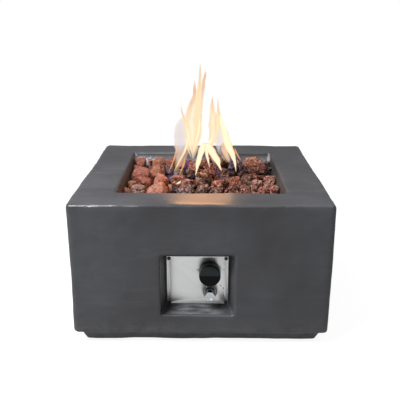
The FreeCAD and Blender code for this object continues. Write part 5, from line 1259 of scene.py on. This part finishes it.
# The kinds of tongue that are made of several gases: each gas, the share of the width that it
# fills and the shares of the tongue's length where it starts and ends. Any other kind is one
# gas, the one that has its name.
TONGUE_KINDS = {
    "flame": (("mantle", 1.0, 0, 1), ("tip", 1.0, 0, 0.40), ("core", 0.80, 0.10, 1)),
    "edge": (("mantle", 1.0, 0, 1), ("tip", 1.0, 0, 0.9)),
    "bright": (("flare", 1.0, 0, 1), ("heart", 0.74, 0.05, 1)),
    "hot": (("flare", 1.0, 0, 1), ("heart", 0.66, 0, 0.9)),
    "mantle": (("mantle", 1.0, 0, 1), ("tip", 1.0, 0, 0.7)),
}


def gas(name):
    """A gas that glows and takes in light evenly through its whole volume."""
    density, glows = GASES[name]
    material = bpy.data.materials.new(f"gas_{name}")
    material.use_nodes = True
    nodes = material.node_tree.nodes
    links = material.node_tree.links
    nodes.clear()
    both = nodes.new("ShaderNodeAddShader")
    output = nodes.new("ShaderNodeOutputMaterial")
    for place, (kind, colour, amount) in enumerate((
            ("ShaderNodeVolumeAbsorption", (0, 0, 0, 1), "Density"),
            ("ShaderNodeEmission", (*glows, 1), "Strength"))):
        part = nodes.new(kind)
        part.inputs["Color"].default_value = colour
        part.inputs[amount].default_value = density
        links.new(part.outputs[0], both.inputs[place])
    links.new(both.outputs[0], output.inputs["Volume"])
    return material


def smooth_line(line, steps):
    """Points along a smooth curve through (across, down, half width) points."""
    ends = [line[0], *line, line[-1]]
    points = []
    for before, start, end, after in zip(ends, ends[1:], ends[2:], ends[3:]):
        for step in range(steps):
            share = step / steps
            point = []
            for a, b, c, d in zip(before, start, end, after):
                bend = (2 * b + (c - a) * share + (2 * a - 5 * b + 4 * c - d) * share ** 2
                        + (3 * b - a - 3 * c + d) * share ** 3)
                point.append(bend / 2)
            points.append(point)
    points.append(list(line[-1]))
    return points


def flicker(line, seed):
    """The line with the small sways and swells of a live flame."""
    points = []
    for across, down, half in line:
        sway = noise.noise(Vector((down / 8, seed, 0))) * min(1.0, half / 2)
        swell = 1 + 0.30 * noise.noise(Vector((down / 6.5, seed, 5)))
        points.append((across + sway, down, half * swell))
    return points


def tongue(name, depth, line, sides=16):
    """A closed, smooth tongue of flame along a line of the frame."""
    shape = bmesh.new()
    metres = (depth - EYE.y) / FRAME_FOCUS / math.cos(LOOKS_DOWN)
    rows = []
    for across, down, half in line[1:-1]:
        centre = frame_point(across, down, depth)
        wide = max(half, 0.15) * metres
        row = []
        for side in range(sides):
            angle = math.tau * side / sides
            row.append((centre.x + wide * math.cos(angle),
                        centre.y + wide * TONGUE_FLATNESS * math.sin(angle), centre.z))
        rows.append(row)
    made = rings(shape, rows)
    cap(shape, made[0], frame_point(*line[0][:2], depth))
    cap(shape, made[-1], frame_point(*line[-1][:2], depth))
    bmesh.ops.recalc_face_normals(shape, faces=shape.faces)
    data = mesh_of(shape, name)
    data.shade_smooth()
    return data


def add_tongue(name, kind, depth, points, gases):
    """One tongue: each of its gases in a closed shape of its own, which ends in a point."""
    line = [[float(part) for part in point.split()] for point in points.split(",")]
    line = flicker(smooth_line(line, TONGUE_STEPS), depth * 997)
    last = len(line) - 1
    for inner, fill, start, end in TONGUE_KINDS.get(kind, ((kind, 1.0, 0, 1),)):
        part = []
        for index, (across, down, half) in enumerate(line):
            if start * last <= index <= end * last:
                left = (end - index / last) / (end - start)
                part.append((across, down, half * fill * (1 if end == 1 else left ** 0.5)))
        data = tongue(f"flame_{name}_{inner}", depth, part)
        data.materials.append(gases[inner])
        placed(data.name, data)


class FIREPIT_OT_fire(bpy.types.Operator):
    """Lights the fire: tongues of glowing gas and the light that they throw"""
    bl_idname = "firepit.fire"
    bl_label = "Fire"

    def execute(self, context):
        fire = context.scene.fire_pit_fire
        gases = {name: gas(name) for name in GASES}
        for name, (kind, back, points) in TONGUES.items():
            add_tongue(name, kind, back * fire.spread / 2, points, gases)
        for side, place in (("left", (-0.020, -0.01, RIM + 0.060)),
                            ("right", (0.022, -0.01, RIM + 0.052))):
            add_lamp(f"fire_glow_{side}", "POINT", place, fire.glow / 2,
                     color=GLOW_COLOUR, shadow_soft_size=GLOW_SIZE)
        return {"FINISHED"}


# ---- stage ----

def pale_floor():
    """A white floor lit from below, as a light table is, so that it shows next to no shadow."""
    finish = Finish("pale_floor")
    cloud = finish.clouds(0.9, 2)
    colour = cloud.ramp(0.3, 0.7).mix((0.20, 0.20, 0.20, 1), (0.22, 0.22, 0.22, 1))
    seen = finish.node("ShaderNodeLightPath", "Is Camera Ray")
    return finish.set(Base_Color=colour, Roughness=0.9, Specular_IOR_Level=0.1,
                      Emission_Color=(1, 1, 1, 1),
                      Emission_Strength=seen.ramp(0, 1, 0.31, 0.90))


def add_floor():
    shape = bmesh.new()
    bmesh.ops.create_grid(shape, x_segments=8, y_segments=8, size=30)
    data = mesh_of(shape, "floor")
    data.materials.append(pale_floor())
    placed("floor", data)


def add_sky(scene):
    """An even white sky, dimmer as a light than it looks."""
    world = bpy.data.worlds.new("sky")
    scene.world = world
    world.use_nodes = True
    nodes = world.node_tree.nodes
    sky = nodes["Background"]
    sky.inputs["Color"].default_value = (1, 1, 1, 1)
    look = nodes.new("ShaderNodeLightPath").outputs["Is Camera Ray"]
    level = nodes.new("ShaderNodeMapRange")
    level.inputs["To Min"].default_value = 0.28
    level.inputs["To Max"].default_value = 1.0
    world.node_tree.links.new(look, level.inputs["Value"])
    world.node_tree.links.new(level.outputs["Result"], sky.inputs["Strength"])


def add_lamp(name, kind, place, energy, target=None, **settings):
    light = bpy.data.lights.new(name, kind)
    light.energy = energy
    for key, value in settings.items():
        setattr(light, key, value)
    lamp = placed(name, light, place)
    if target:
        way = Vector(target) - Vector(place)
        lamp.rotation_euler = way.to_track_quat("-Z", "Y").to_euler()


class FIREPIT_OT_stage(bpy.types.Operator):
    """Sets the pale floor, the soft studio light and the camera"""
    bl_idname = "firepit.stage"
    bl_label = "Stage"

    def execute(self, context):
        scene = context.scene
        scene.view_settings.view_transform = "Standard"
        add_floor()
        add_sky(scene)
        add_lamp("overhead", "SUN", (0, 0.6, 3), 0.8, (0, 0.1, 0), angle=math.radians(75))
        add_lamp("soft_box", "AREA", (-0.65, -0.50, 1.15), 31, (0, -0.15, 0.15),
                 shape="RECTANGLE", size=0.7, size_y=0.7)
        lens = bpy.data.cameras.new("camera")
        lens.sensor_width = SENSOR
        lens.lens = SENSOR * FRAME_FOCUS / FRAME_SIDE
        camera = placed("camera", lens, EYE)
        camera.rotation_euler = (math.pi / 2 - LOOKS_DOWN, 0, HEADING)
        scene.camera = camera
        return {"FINISHED"}


# ---- panel and registration ----

STEPS = (FIREPIT_OT_casing, FIREPIT_OT_lava_rocks, FIREPIT_OT_control_panel, FIREPIT_OT_knob,
         FIREPIT_OT_igniter, FIREPIT_OT_gas_inlet, FIREPIT_OT_return_springs,
         FIREPIT_OT_inner_parts, FIREPIT_OT_fire, FIREPIT_OT_stage)


class VIEW3D_PT_fire_pit(bpy.types.Panel):
    """Lists the fire pit's steps and what can be changed"""
    bl_idname = "VIEW3D_PT_fire_pit"
    bl_label = "Fire Pit"
    bl_space_type = "VIEW_3D"
    bl_region_type = "UI"
    bl_category = "Fire Pit"

    def draw(self, context):
        layout = self.layout
        for step in STEPS:
            layout.operator(step.bl_idname)
        for group in (context.scene.fire_pit_sizes, context.scene.fire_pit_colours,
                      context.scene.fire_pit_fire):
            box = layout.box()
            for name in group.__annotations__:
                box.prop(group, name)


CLASSES = (FirePitSizes, FirePitColours, FirePitFire, *STEPS, VIEW3D_PT_fire_pit)


def register():
    for part in CLASSES:
        bpy.utils.register_class(part)
    bpy.types.Scene.fire_pit_sizes = PointerProperty(type=FirePitSizes)
    bpy.types.Scene.fire_pit_colours = PointerProperty(type=FirePitColours)
    bpy.types.Scene.fire_pit_fire = PointerProperty(type=FirePitFire)


def unregister():
    del bpy.types.Scene.fire_pit_fire
    del bpy.types.Scene.fire_pit_colours
    del bpy.types.Scene.fire_pit_sizes
    for part in reversed(CLASSES):
        bpy.utils.unregister_class(part)


def main():
    register()
    for step in STEPS:
        group, name = step.bl_idname.split(".")
        getattr(getattr(bpy.ops, group), name)()


if __name__ == "__main__":
    main()
